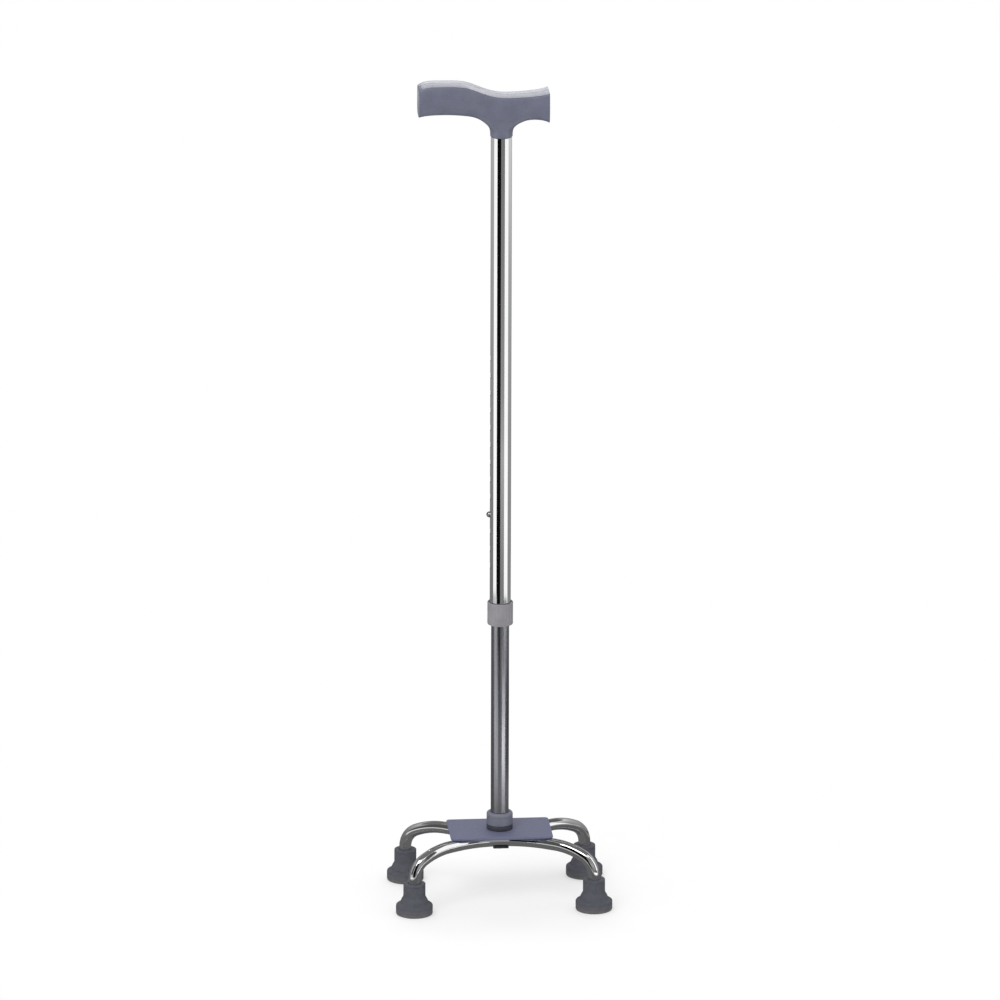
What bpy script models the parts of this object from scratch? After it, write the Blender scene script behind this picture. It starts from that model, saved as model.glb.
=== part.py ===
"""Quad cane: a T-shaped handle on a two-part height-adjustable shaft, over a base with four rubber feet.

Metres, Z up. The origin is on the floor under the shaft. The long arm of the handle and the snap
button point to -X, and the feet stand wider along X than along Y.
"""

from math import atan2, cos, hypot, pi, radians, sin, sqrt

import bmesh
import bpy
from mathutils import Matrix, Vector

MM = 0.001

# Fits between neighbours
SEAT_GAP = 0.3 * MM  # between faces that rest on each other
SLIP_GAP = 0.2 * MM  # on each side of a piece that slides or turns in another
TUBE_GAP = 0.375 * MM  # on each side of the lower tube in the upper one
SIDES = 28  # facets round a tube

# Shaft
LOWER_TUBE_D = 19.05 * MM
LOWER_TUBE_WALL = 1.2 * MM
LOWER_TUBE_LENGTH = 375.5 * MM
UPPER_TUBE_WALL = 1.2 * MM
UPPER_TUBE_LENGTH = 527 * MM

# Height holes, down the left side of the upper tube
HOLE_PITCH = 19.05 * MM
HOLES_BELOW = 3  # settings that make the cane longer than it stands here
HOLES_ABOVE = 9  # settings that make it shorter
HOLE_START = 54 * MM  # lowest hole above the end of the tube

# Snap button and its leaf spring, near the top of the lower tube
BUTTON_D = 6.4 * MM
BUTTON_DOWN = 31 * MM  # below the top end of the lower tube
BUTTON_PROUD = 3.8 * MM  # past the outside of the upper tube
FLANGE_STEP = 1.1 * MM  # of the flange past the button, all round
FLANGE_T = 1.1 * MM
RIVET_D = 3 * MM
RIVET_HEAD_STEP = 1 * MM
RIVET_HEAD_T = 0.8 * MM
LEAF_T = 0.6 * MM
LEAF_W = 8 * MM
LEAF_LENGTH = 40 * MM  # from the button down to the fold of the V
LEAF_PAD = 6 * MM  # straight part each way from the button
LEAF_FOLD_R = 2.6 * MM

# Rim glide in the top of the lower tube
GLIDE_PLUG = 13 * MM
GLIDE_RIM = 3.5 * MM
GLIDE_WALL = 2 * MM

# Lock ring and the split bush under it, on the lower end of the upper tube
RING_H = 24.5 * MM
RING_WALL = 1.2 * MM
RING_LIP = 1.3 * MM
RING_BAND = 15 * MM  # height of the ribbed grip
RING_RIBS = 20
RIB_DEPTH = 0.45 * MM
BUSH_WALL = 0.8 * MM  # beside the tube
BUSH_OVERLAP = 13 * MM  # of the bush over the tube
BUSH_BELOW = 8 * MM  # of the bush past the end of the tube
BUSH_SLIT = 1.4 * MM

# Handle: heights are above the underside of its collar
COLLAR_STEP = 0.7 * MM  # of the collar past the upper tube, all round
COLLAR_H = 7 * MM
FUNNEL_RISE = 5 * MM  # from the collar up to where the funnel opens into the arms
SPIGOT_LENGTH = 40 * MM
PIN_D = 4 * MM
PIN_DOWN = 15 * MM  # below the top end of the upper tube
LONG_ARM = 87.6 * MM
SHORT_ARM = 49.8 * MM
HANDLE_W = 30 * MM
ARM_UNDERSIDE = 25.2 * MM  # height of the long arm's underside
ARM_DEPTH = 34 * MM
SADDLE_DROP = 13.2 * MM  # from the top of the long arm down to the saddle over the shaft
UNDER_DROP = 6 * MM  # from the underside of the long arm down to that of the short arm
NOSE_LIP = 3.4 * MM  # at the outer end of the long arm, underneath
NOSE_ROUND = 7 * MM  # of the long arm's upper end
FINGER_SWELL = 3.2 * MM  # under the long arm, before the funnel
END_FLARE = 3.8 * MM  # at the end of the short arm, above and below

# Base
FOOT_X = 95 * MM
FOOT_Y = 57.5 * MM
LEG_TUBE_D = 12.7 * MM
LEG_TUBE_WALL = 1.2 * MM
LEG_HEIGHT = 64.35 * MM  # centre of the leg tubes under the plate
LEG_TURN = 1.3  # how far each tube turns in its bow, over the bearing of its foot: from 1 to 2
LEG_DIP = 25  # degrees that a tube turns down in its wide bend, outside the plate
LEG_DIP_R = 80 * MM  # of the wide bend, before the tight one over the foot
LEG_SHOW = 3 * MM  # straight leg between the tight bend and the rubber tip
LEG_SIDES = 12
PLATE_X = 108 * MM
PLATE_Y = 65.5 * MM
PLATE_T = 2.5 * MM
PLATE_CORNER_R = 4 * MM
PLATE_EDGE_R = 0.6 * MM
SEAT_H = 5 * MM
SEAT_FLOOR = 2.5 * MM
BOSS_WALL = 4.1 * MM
BOSS_H = 13.2 * MM
BOSS_SHOULDER = 2.5 * MM
BOLT_D = 8 * MM
BOLT_ROOM = 3.65 * MM  # between the bolt and each leg tube
BOLT_HEAD_STEP = 3.5 * MM
BOLT_HEAD_H = 3.3 * MM
BOLT_KEY = 5 * MM  # across the flats of its socket
BOLT_SHORT = 4 * MM  # of the bolt's end below the top of its plug
PLUG_LENGTH = 24 * MM
STRAP_W = 16 * MM
STRAP_T = 2 * MM
STRAP_WRAP = 45  # degrees that it reaches round each leg tube

# Rubber tips, with a steel disc under the leg
TIP_H = 34 * MM
TIP_WALL = 5.1 * MM
TIP_FLANGE = 7.75 * MM  # of the foot past the neck, all round
TIP_FOOT_H = 11 * MM
TIP_CONE_H = 8.7 * MM
TIP_FLOOR = 8 * MM
TIP_GROOVE = 1.2 * MM
TIP_SIDES = 20
DISC_T = 1.5 * MM

# Widths that follow from the fits
UPPER_BORE_R = LOWER_TUBE_D / 2 + TUBE_GAP
UPPER_TUBE_D = 2 * (UPPER_BORE_R + UPPER_TUBE_WALL)
LOWER_BORE_R = LOWER_TUBE_D / 2 - LOWER_TUBE_WALL
FLANGE_D = BUTTON_D + 2 * FLANGE_STEP
RIVET_HEAD_D = RIVET_D + 2 * RIVET_HEAD_STEP
BUSH_D = UPPER_TUBE_D + 2 * (SLIP_GAP + BUSH_WALL)
RING_D = BUSH_D + 2 * (SLIP_GAP + RING_WALL)
COLLAR_D = UPPER_TUBE_D + 2 * COLLAR_STEP
BOSS_D = LOWER_TUBE_D + 2 * (SLIP_GAP + BOSS_WALL)
BOLT_HEAD_D = BOLT_D + 2 * BOLT_HEAD_STEP
TIP_NECK_D = LEG_TUBE_D + 2 * (SLIP_GAP + TIP_WALL)
TIP_FOOT_D = TIP_NECK_D + 2 * TIP_FLANGE

# Run of the leg tubes: seen from above an arc from the middle, then straight to the foot, and
# seen from the side a wide bend and then a tight one down into the foot
LEG_INSET = BOLT_D / 2 + BOLT_ROOM + LEG_TUBE_D / 2
LEG_ANGLE = LEG_TURN * atan2(FOOT_Y - LEG_INSET, FOOT_X)
LEG_SWEEP_R = (FOOT_X * sin(LEG_ANGLE) - (FOOT_Y - LEG_INSET) * cos(LEG_ANGLE)) / (1 - cos(LEG_ANGLE))
LEG_DIP_DROP = LEG_DIP_R * (1 - cos(radians(LEG_DIP)))
LEG_BEND_R = (LEG_HEIGHT - TIP_H - LEG_SHOW - LEG_DIP_DROP) / cos(radians(LEG_DIP))
STRAP_BOW = (STRAP_W / 2) ** 2 / (2 * LEG_SWEEP_R)  # of a leg tube within the width of the strap

# Heights, from the floor up
LEG_END_Z = TIP_FLOOR + SEAT_GAP + DISC_T + SEAT_GAP
PLATE_Z = LEG_HEIGHT + LEG_TUBE_D / 2 + SEAT_GAP
SEAT_Z = PLATE_Z + PLATE_T + SEAT_GAP
LOWER_TUBE_Z = SEAT_Z + SEAT_FLOOR + SEAT_GAP
BOSS_Z = SEAT_Z + SEAT_H + SEAT_GAP
LOWER_TUBE_TOP = LOWER_TUBE_Z + LOWER_TUBE_LENGTH
BUTTON_Z = LOWER_TUBE_TOP - BUTTON_DOWN
UPPER_TUBE_Z = BUTTON_Z - HOLES_BELOW * HOLE_PITCH - HOLE_START
UPPER_TUBE_TOP = UPPER_TUBE_Z + UPPER_TUBE_LENGTH
COLLAR_Z = UPPER_TUBE_TOP + SEAT_GAP
BUSH_Z = UPPER_TUBE_Z - BUSH_BELOW
RING_Z = BUSH_Z - SEAT_GAP - RING_LIP
BOLT_SEAT_Z = LEG_HEIGHT - LEG_TUBE_D / 2 - SEAT_GAP - STRAP_T - SEAT_GAP


def clear_scene():
    for obj in list(bpy.data.objects):
        bpy.data.objects.remove(obj, do_unlink=True)


def finish_material(name, colour, roughness, metallic=0.0):
    """A Principled material, from a linear colour."""
    made = bpy.data.materials.new(name)
    made.use_nodes = True
    shader = made.node_tree.nodes["Principled BSDF"]
    shader.inputs["Base Color"].default_value = (*colour, 1)
    shader.inputs["Roughness"].default_value = roughness
    shader.inputs["Metallic"].default_value = metallic
    made.diffuse_color = (*colour, 1)
    return made


def materials():
    return {
        "chrome": finish_material("bright_chrome", (0.9, 0.9, 0.91), 0.08, 1),
        "satin": finish_material("satin_grey_metal", (0.33, 0.33, 0.37), 0.3, 1),
        "steel": finish_material("plain_steel", (0.5, 0.5, 0.5), 0.35, 1),
        "spring": finish_material("spring_steel", (0.25, 0.25, 0.27), 0.3, 1),
        "handle": finish_material("grey_handle_plastic", (0.16, 0.17, 0.22), 0.4),
        "ring": finish_material("light_grey_plastic", (0.28, 0.27, 0.29), 0.45),
        "boss": finish_material("grey_plastic", (0.15, 0.16, 0.2), 0.4),
        "seat": finish_material("dark_plastic", (0.06, 0.065, 0.08), 0.5),
        "plate": finish_material("painted_plate", (0.17, 0.18, 0.25), 0.4),
        "bush": finish_material("white_nylon", (0.75, 0.75, 0.72), 0.45),
        "rubber": finish_material("dark_grey_rubber", (0.085, 0.09, 0.11), 0.8),
    }


def solid(name, bm, material, at=(0, 0, 0), parent=None, sharp=35):
    """Makes an object of bm, whose own origin goes to the world place `at`."""
    bmesh.ops.remove_doubles(bm, verts=bm.verts, dist=1e-7)
    bmesh.ops.recalc_face_normals(bm, faces=bm.faces)
    mesh = bpy.data.meshes.new(name)
    bm.to_mesh(mesh)
    bm.free()
    mesh.materials.append(material)
    mesh.shade_smooth()
    mesh.set_sharp_from_angle(angle=radians(sharp))
    return placed(bpy.data.objects.new(name, mesh), at, parent)


def placed(obj, at, parent=None):
    bpy.context.scene.collection.objects.link(obj)
    obj.parent = parent
    obj.location = Vector(at) - world_place(parent)
    return obj


def world_place(obj):
    """Where an unrotated parent stands in the world, with its own parents."""
    if obj is None:
        return Vector((0, 0, 0))
    return obj.location + world_place(obj.parent)


def joint_empty(name, at, parent=None):
    """An empty on a joint's axis, which carries what moves there."""
    return placed(bpy.data.objects.new(name, None), at, parent)


def boolean(name, bm, target, operation="DIFFERENCE"):
    """A shape in the target's own space, and the Boolean that cuts it from the target or adds it."""
    bmesh.ops.recalc_face_normals(bm, faces=bm.faces)
    mesh = bpy.data.meshes.new(name)
    bm.to_mesh(mesh)
    bm.free()
    tool = bpy.data.objects.new(name, mesh)
    bpy.context.scene.collection.objects.link(tool)
    tool.parent = target
    tool.hide_render = True
    tool.display_type = "WIRE"
    modifier = target.modifiers.new(name, "BOOLEAN")
    modifier.operation = operation
    modifier.object = tool


def arc(centre, radius, start, end, steps):
    """Points of an arc in a plane, with its angles in degrees."""
    angles = [radians(start + (end - start) * k / steps) for k in range(steps + 1)]
    return [(centre[0] + radius * cos(a), centre[1] + radius * sin(a)) for a in angles]


def turned(outline, sides):
    """A closed outline of (radius, height) points, spun round the Z axis."""
    bm = bmesh.new()
    points = [bm.verts.new((r, 0, z)) for r, z in outline]
    pairs = list(zip(points, points[1:] + points[:1]))
    if outline[0][0] == outline[-1][0] == 0:
        pairs.pop()
    edges = [bm.edges.new(pair) for pair in pairs]
    bmesh.ops.spin(
        bm,
        geom=points + edges,
        cent=(0, 0, 0),
        axis=(0, 0, 1),
        angle=2 * pi,
        steps=sides,
    )
    bmesh.ops.remove_doubles(bm, verts=bm.verts, dist=1e-7)
    return bm


def tube(radius, wall, length, sides):
    """A plain tube that stands on Z = 0."""
    inner = radius - wall
    return turned([(inner, 0), (radius, 0), (radius, length), (inner, length)], sides)


def drill(bm, diameter, length, sides, turn):
    """Adds a solid round bar to bm, centred on `turn`, a matrix that also aims it along its Z."""
    bmesh.ops.create_cone(
        bm,
        cap_ends=True,
        segments=sides,
        radius1=diameter / 2,
        radius2=diameter / 2,
        depth=length,
        matrix=turn,
    )
    return bm


def swept_tube(path, radius, wall, sides):
    """A round tube along a path of points, open at both ends."""
    bm = bmesh.new()
    last = len(path) - 1
    tangents = [(path[min(k + 1, last)] - path[max(k - 1, 0)]).normalized() for k in range(last + 1)]
    across = tangents[0].orthogonal().normalized()
    rings = []
    for k, (point, along) in enumerate(zip(path, tangents)):
        if k:
            across = tangents[k - 1].rotation_difference(along) @ across
        side = along.cross(across)
        ring = []
        for r in (radius, radius - wall):
            turns = [2 * pi * n / sides for n in range(sides)]
            ring.append([bm.verts.new(point + r * (cos(a) * across + sin(a) * side)) for a in turns])
        rings.append(ring)
    for layer in (0, 1):
        for one, two in zip(rings, rings[1:]):
            join_rings(bm, one[layer], two[layer])
    for end in (rings[0], rings[-1]):
        join_rings(bm, *end)
    return bm


def join_rings(bm, one, two):
    """Quads between two rings of as many points."""
    for k in range(len(one)):
        n = (k + 1) % len(one)
        bm.faces.new((one[k], one[n], two[n], two[k]))


def cap_ring(bm, ring):
    """Closes a ring of eight points by four quads round a middle point."""
    middle = bm.verts.new(sum((v.co for v in ring), Vector()) / len(ring))
    for k in range(0, 8, 2):
        bm.faces.new((ring[k - 1], ring[k], ring[(k + 1) % 8], middle))


def crease_ring(bm, ring, amount):
    layer = bm.edges.layers.float.get("crease_edge") or bm.edges.layers.float.new("crease_edge")
    for k, point in enumerate(ring):
        bm.edges.get((point, ring[(k + 1) % len(ring)]))[layer] = amount


def arm_stations():
    """Cage rings of the handle along X: (place, top, underside, share of the width)."""
    crown = ARM_UNDERSIDE + ARM_DEPTH
    saddle = crown - SADDLE_DROP
    under_short = ARM_UNDERSIDE - UNDER_DROP
    stem = 1.2 * COLLAR_D / 2
    funnel = COLLAR_H + FUNNEL_RISE
    shoulder = saddle + 0.55 * SADDLE_DROP
    return [
        (-LONG_ARM, crown - 0.6 * NOSE_ROUND, ARM_UNDERSIDE - 0.8 * NOSE_LIP, 0.93),
        (-LONG_ARM + NOSE_ROUND, crown + 0.08 * NOSE_ROUND, ARM_UNDERSIDE - 0.2 * NOSE_LIP, 1.02),
        (-0.68 * LONG_ARM, crown, ARM_UNDERSIDE, 1.0),
        (-0.45 * LONG_ARM, crown, ARM_UNDERSIDE - 0.5 * FINGER_SWELL, 1.0),
        (-0.29 * LONG_ARM, shoulder, ARM_UNDERSIDE - 1.2 * FINGER_SWELL, 1.0),
        (-stem, saddle + 0.2 * SADDLE_DROP, funnel, 0.97),
        (0, saddle - 0.05 * SADDLE_DROP, funnel, 0.96),
        (stem, saddle - 0.03 * SADDLE_DROP, funnel, 0.96),
        (0.55 * SHORT_ARM, saddle, under_short - 0.1 * END_FLARE, 0.97),
        (0.9 * SHORT_ARM, saddle + 0.5 * END_FLARE, under_short - 0.6 * END_FLARE, 1.02),
        (SHORT_ARM, saddle + 1.1 * END_FLARE, under_short - 1.4 * END_FLARE, 1.08),
    ]


def arm_ring(bm, station):
    """Eight cage points of one cross-section, from the middle of the underside round by +Y."""
    x, top, under, share = station
    corner = 0.92  # how far the corner points stand out, which sets how round the section is
    middle, depth = (top + under) / 2, (top - under) / 2
    half = share * HANDLE_W / 2
    compass = [(0, -1), (corner, -corner), (1, 0), (corner, corner)]
    compass += [(-y, -z) for y, z in compass]
    return [bm.verts.new((x, y * half, middle + z * depth)) for y, z in compass]


def handle_grip(material, parent):
    """Box-modelled cage of the T, with the stem pulled out of its underside, then subdivided."""
    bm = bmesh.new()
    rings = [arm_ring(bm, station) for station in arm_stations()]
    neck = next(k for k, ring in enumerate(rings) if abs(ring[0].co.x) < MM)
    for k, (one, two) in enumerate(zip(rings, rings[1:])):
        join_rings(bm, one, two)
        if k in (neck - 1, neck):
            for n in (7, 0):
                bm.faces.remove(bm.faces.get((one[n], one[(n + 1) % 8], two[(n + 1) % 8], two[n])))
    left, right, middle = rings[neck - 1], rings[neck + 1], rings[neck]
    opening = [right[0], right[1], middle[1], left[1], left[0], left[7], middle[7], right[7]]
    bm.verts.remove(middle[0])
    cage_r = COLLAR_D / 2 / 0.9024  # an eight-sided cage draws in to this share of its radius
    last = opening
    for height, swell in ((COLLAR_H, 1.03), (0.4 * COLLAR_H, 1.0), (0, 1.0)):
        ring = []
        for k in range(8):
            angle = k * pi / 4
            spot = (swell * cage_r * cos(angle), swell * cage_r * sin(angle), height)
            ring.append(bm.verts.new(spot))
        join_rings(bm, last, ring)
        last = ring
    cap_ring(bm, last)
    crease_ring(bm, last, 0.9)
    for end in (rings[0], rings[-1]):
        cap_ring(bm, end)
        crease_ring(bm, end, 0.75)
    grip = solid("handle_grip", bm, material, (0, 0, COLLAR_Z), parent, 60)
    smooth = grip.modifiers.new("smooth", "SUBSURF")
    smooth.levels = 2
    smooth.render_levels = 2
    add_spigot(grip)
    return grip


def add_spigot(grip):
    """The round peg under the handle's collar, with a cross hole for its pin."""
    bm = bmesh.new()
    depth = SPIGOT_LENGTH + COLLAR_H
    peg = 2 * (UPPER_BORE_R - SLIP_GAP)
    drill(bm, peg, depth, SIDES, Matrix.Translation((0, 0, COLLAR_H - depth / 2)))
    lower_rim = [e for e in bm.edges if all(v.co.z < 0 for v in e.verts)]
    bmesh.ops.bevel(bm, geom=lower_rim, offset=MM, segments=1, affect="EDGES")
    boolean("spigot", bm, grip, "UNION")
    across = Matrix.Translation((0, 0, -PIN_DOWN - SEAT_GAP)) @ Matrix.Rotation(pi / 2, 4, "Y")
    boolean("spigot_pin_hole", drill(bmesh.new(), PIN_D + 2 * SLIP_GAP, UPPER_TUBE_D, 16, across), grip)


def handle_pin(material, parent):
    """Cross pin through the upper tube and the spigot, flush with the tube."""
    bm = drill(bmesh.new(), PIN_D, UPPER_TUBE_D, 16, Matrix.Rotation(pi / 2, 4, "Y"))
    rims = [e for e in bm.edges if abs(e.verts[0].co.x - e.verts[1].co.x) < 1e-6]
    bmesh.ops.bevel(bm, geom=rims, offset=0.4 * MM, segments=1, affect="EDGES")
    return solid("handle_pin", bm, material, (0, 0, UPPER_TUBE_TOP - PIN_DOWN), parent)


def upper_tube(material, parent):
    """The upper tube, with its height holes on the left and the pin's hole across its top."""
    bm = tube(UPPER_TUBE_D / 2, UPPER_TUBE_WALL, UPPER_TUBE_LENGTH, SIDES)
    made = solid("upper_tube", bm, material, (0, 0, UPPER_TUBE_Z), parent)
    aim = Matrix.Rotation(pi / 2, 4, "Y")
    holes = bmesh.new()
    for k in range(HOLES_BELOW + HOLES_ABOVE + 1):
        spot = Matrix.Translation((-UPPER_TUBE_D / 2, 0, HOLE_START + k * HOLE_PITCH))
        drill(holes, BUTTON_D + 2 * SLIP_GAP, UPPER_TUBE_D / 2, 12, spot @ aim)
    boolean("height_holes", holes, made)
    spot = Matrix.Translation((0, 0, UPPER_TUBE_LENGTH - PIN_DOWN))
    boolean("pin_hole", drill(bmesh.new(), PIN_D + 2 * SLIP_GAP, 2 * UPPER_TUBE_D, 16, spot @ aim), made)
    return made


def lower_tube(material):
    """The lower tube, with the snap button's hole near its top."""
    bm = tube(LOWER_TUBE_D / 2, LOWER_TUBE_WALL, LOWER_TUBE_LENGTH, SIDES)
    made = solid("lower_tube", bm, material, (0, 0, LOWER_TUBE_Z))
    spot = Matrix.Translation((-LOWER_TUBE_D / 2, 0, LOWER_TUBE_LENGTH - BUTTON_DOWN))
    across = spot @ Matrix.Rotation(pi / 2, 4, "Y")
    hole = drill(bmesh.new(), BUTTON_D + 2 * SLIP_GAP, LOWER_TUBE_D / 2, 16, across)
    boolean("button_hole", hole, made)
    return made


def tube_glide(material):
    """Plug with a rim that centres the lower tube in the upper one."""
    plug_r = LOWER_BORE_R - SLIP_GAP
    rim_r = UPPER_BORE_R - SLIP_GAP
    outline = [
        (plug_r - GLIDE_WALL, -GLIDE_PLUG),
        (plug_r - 0.5 * MM, -GLIDE_PLUG),
        (plug_r, -GLIDE_PLUG + MM),
        (plug_r, SEAT_GAP),
        (rim_r, SEAT_GAP),
        (rim_r, GLIDE_RIM - 0.8 * MM),
        (rim_r - 0.8 * MM, GLIDE_RIM),
        (0, GLIDE_RIM),
        (0, GLIDE_RIM - GLIDE_WALL),
        (plug_r - GLIDE_WALL, GLIDE_RIM - GLIDE_WALL),
    ]
    outline = outline[8:] + outline[:8]
    return solid("tube_glide", turned(outline, SIDES), material, (0, 0, LOWER_TUBE_TOP))


def flange_face_x():
    """How far from the axis a flat flange can stand inside the round lower tube."""
    return -(sqrt(LOWER_BORE_R**2 - (FLANGE_D / 2) ** 2) - SEAT_GAP)


def snap_button(material, parent):
    """Domed button with the flange that stops it, and the rivet that holds it to its leaf."""
    r = BUTTON_D / 2
    tip = UPPER_TUBE_D / 2 + BUTTON_PROUD
    face = -flange_face_x()
    back = face - FLANGE_T
    tail = back - LEAF_T - 2 * SEAT_GAP
    dome = arc((0, tip - r), r, 90, 0, 6)
    outline = [
        *dome,
        (r, face),
        (FLANGE_D / 2, face),
        (FLANGE_D / 2, back),
        (RIVET_D / 2, back),
        (RIVET_D / 2, tail),
        (RIVET_HEAD_D / 2, tail),
        (RIVET_HEAD_D / 2, tail - RIVET_HEAD_T),
        (0, tail - RIVET_HEAD_T),
    ]
    outline = [(0.0 if abs(x) < 1e-9 else x, z) for x, z in outline]
    bm = turned(outline, 16)
    bmesh.ops.rotate(bm, verts=bm.verts, matrix=Matrix.Rotation(-pi / 2, 3, "Y"))
    return solid("snap_button", bm, material, (0, 0, BUTTON_Z), parent)


def snap_spring(material):
    """V-shaped leaf: a strip bent along its path, given its thickness by Solidify."""
    button_leg = flange_face_x() + FLANGE_T + SEAT_GAP + LEAF_T / 2
    wall_leg = sqrt(LOWER_BORE_R**2 - (LEAF_W / 2) ** 2) - SEAT_GAP - LEAF_T / 2
    fold = Vector(((button_leg + wall_leg) / 2, -LEAF_LENGTH))
    path = [(button_leg, LEAF_PAD), (button_leg, -LEAF_PAD)]
    path += arc(fold, LEAF_FOLD_R, 180, 360, 8)
    path += [(wall_leg, -LEAF_PAD), (wall_leg, LEAF_PAD)]
    bm = bmesh.new()
    rows = [[bm.verts.new((x, side * LEAF_W / 2, z)) for side in (-1, 1)] for x, z in path]
    for one, two in zip(rows, rows[1:]):
        bm.faces.new((one[0], one[1], two[1], two[0]))
    leaf = solid("snap_spring", bm, material, (0, 0, BUTTON_Z))
    thick = leaf.modifiers.new("thickness", "SOLIDIFY")
    thick.thickness = LEAF_T
    thick.offset = 0
    thick.use_even_offset = True
    aim = Matrix.Translation((button_leg, 0, 0)) @ Matrix.Rotation(pi / 2, 4, "Y")
    boolean("rivet_hole", drill(bmesh.new(), RIVET_D + 2 * SLIP_GAP, 4 * LEAF_T, 12, aim), leaf)
    return leaf


def lock_bush(material, parent):
    """Bush over the end of the upper tube. Its lower half is split, so that it can grip."""
    wide = UPPER_TUBE_D / 2 + SLIP_GAP
    narrow = LOWER_TUBE_D / 2 + SLIP_GAP
    outer = BUSH_D / 2
    step = BUSH_BELOW - SEAT_GAP
    top = BUSH_BELOW + BUSH_OVERLAP
    outline = [
        (narrow, 0),
        (outer - 0.8 * MM, 0),
        (outer, 3 * MM),
        (outer, top),
        (wide, top),
        (wide, step),
        (narrow, step),
    ]
    made = solid("lock_bush", turned(outline, SIDES), material, (0, 0, BUSH_Z), parent)
    slits = bmesh.new()
    depth = BUSH_BELOW - 2 * MM
    for k in range(2):
        spot = Matrix.Translation((0, 0, depth / 2 - MM)) @ Matrix.Rotation(radians(45 + 90 * k), 4, "Z")
        size = Matrix.Diagonal((2 * RING_D, BUSH_SLIT, depth, 1))
        bmesh.ops.create_cube(slits, size=1, matrix=spot @ size)
    boolean("bush_slits", slits, made)
    return made


def lock_ring(material, parent):
    """Nut round the bush, with a ribbed grip band and a lip under the bush."""
    r = RING_D / 2
    inner = r - RING_WALL
    lip = LOWER_TUBE_D / 2 + SLIP_GAP
    band_low = (RING_H - RING_BAND) / 2
    outline = [
        (lip, 0),
        (r - MM, 0),
        (r, band_low),
        (r, band_low + 0.6 * MM),
        (r, RING_H - band_low - 0.6 * MM),
        (r, RING_H - band_low),
        (r - 0.6 * MM, RING_H),
        (inner, RING_H),
        (inner, RING_LIP),
        (lip, RING_LIP),
    ]
    bm = turned(outline, 2 * RING_RIBS)
    pitch = pi / RING_RIBS
    for v in bm.verts:
        inside_band = band_low + 0.3 * MM < v.co.z < RING_H - band_low - 0.3 * MM
        place = round(atan2(v.co.y, v.co.x) / pitch)
        if inside_band and hypot(v.co.x, v.co.y) > r - 0.1 * MM and place % 2:
            v.co.x *= 1 - RIB_DEPTH / r
            v.co.y *= 1 - RIB_DEPTH / r
    return solid("lock_ring", bm, material, (0, 0, RING_Z), parent, 25)


def base_seat(material):
    """Dark cup on the plate, which the foot of the lower tube stands in."""
    r = BOSS_D / 2
    socket = LOWER_TUBE_D / 2 + SLIP_GAP
    hole = BOLT_D / 2 + 2 * SLIP_GAP
    outline = [
        (hole, 0),
        (r - 0.5 * MM, 0),
        (r, 0.5 * MM),
        (r, SEAT_H - 0.5 * MM),
        (r - 0.5 * MM, SEAT_H),
        (socket, SEAT_H),
        (socket, SEAT_FLOOR),
        (hole, SEAT_FLOOR),
    ]
    return solid("base_seat", turned(outline, SIDES), material, (0, 0, SEAT_Z))


def base_boss(material):
    """Moulded sleeve round the foot of the lower tube."""
    r = BOSS_D / 2
    socket = LOWER_TUBE_D / 2 + SLIP_GAP
    outline = [
        (socket, 0),
        (r, 0),
        *arc((r - BOSS_SHOULDER, BOSS_H - BOSS_SHOULDER), BOSS_SHOULDER, 0, 90, 4),
        (socket, BOSS_H),
    ]
    return solid("base_boss", turned(outline, SIDES), material, (0, 0, BOSS_Z))


def tube_plug(material):
    """Steel plug in the foot of the lower tube, bored for the base bolt."""
    r = LOWER_BORE_R - SLIP_GAP
    bore = BOLT_D / 2 + SLIP_GAP
    outline = [(bore, 0), (r - 0.6 * MM, 0), (r, 0.6 * MM), (r, PLUG_LENGTH), (bore, PLUG_LENGTH)]
    return solid("tube_plug", turned(outline, SIDES), material, (0, 0, LOWER_TUBE_Z + SEAT_GAP))


def base_plate(material):
    """Flat plate with rounded corners and eased edges, holed for the bolt."""
    bm = bmesh.new()
    place = Matrix.Translation((0, 0, PLATE_T / 2))
    bmesh.ops.create_cube(bm, size=1, matrix=place @ Matrix.Diagonal((PLATE_X, PLATE_Y, PLATE_T, 1)))
    upright = [e for e in bm.edges if abs(e.verts[0].co.z - e.verts[1].co.z) > PLATE_T / 2]
    bmesh.ops.bevel(bm, geom=upright, offset=PLATE_CORNER_R, segments=5, profile=0.5, affect="EDGES")
    rims = [e for e in bm.edges if abs(e.verts[0].co.z - e.verts[1].co.z) < PLATE_T / 2]
    bmesh.ops.bevel(bm, geom=rims, offset=PLATE_EDGE_R, segments=2, profile=0.5, affect="EDGES")
    plate = solid("base_plate", bm, material, (0, 0, PLATE_Z))
    hole = drill(bmesh.new(), BOLT_D + 4 * SLIP_GAP, 4 * PLATE_T, 24, place)
    boolean("plate_hole", hole, plate)
    return plate


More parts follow.
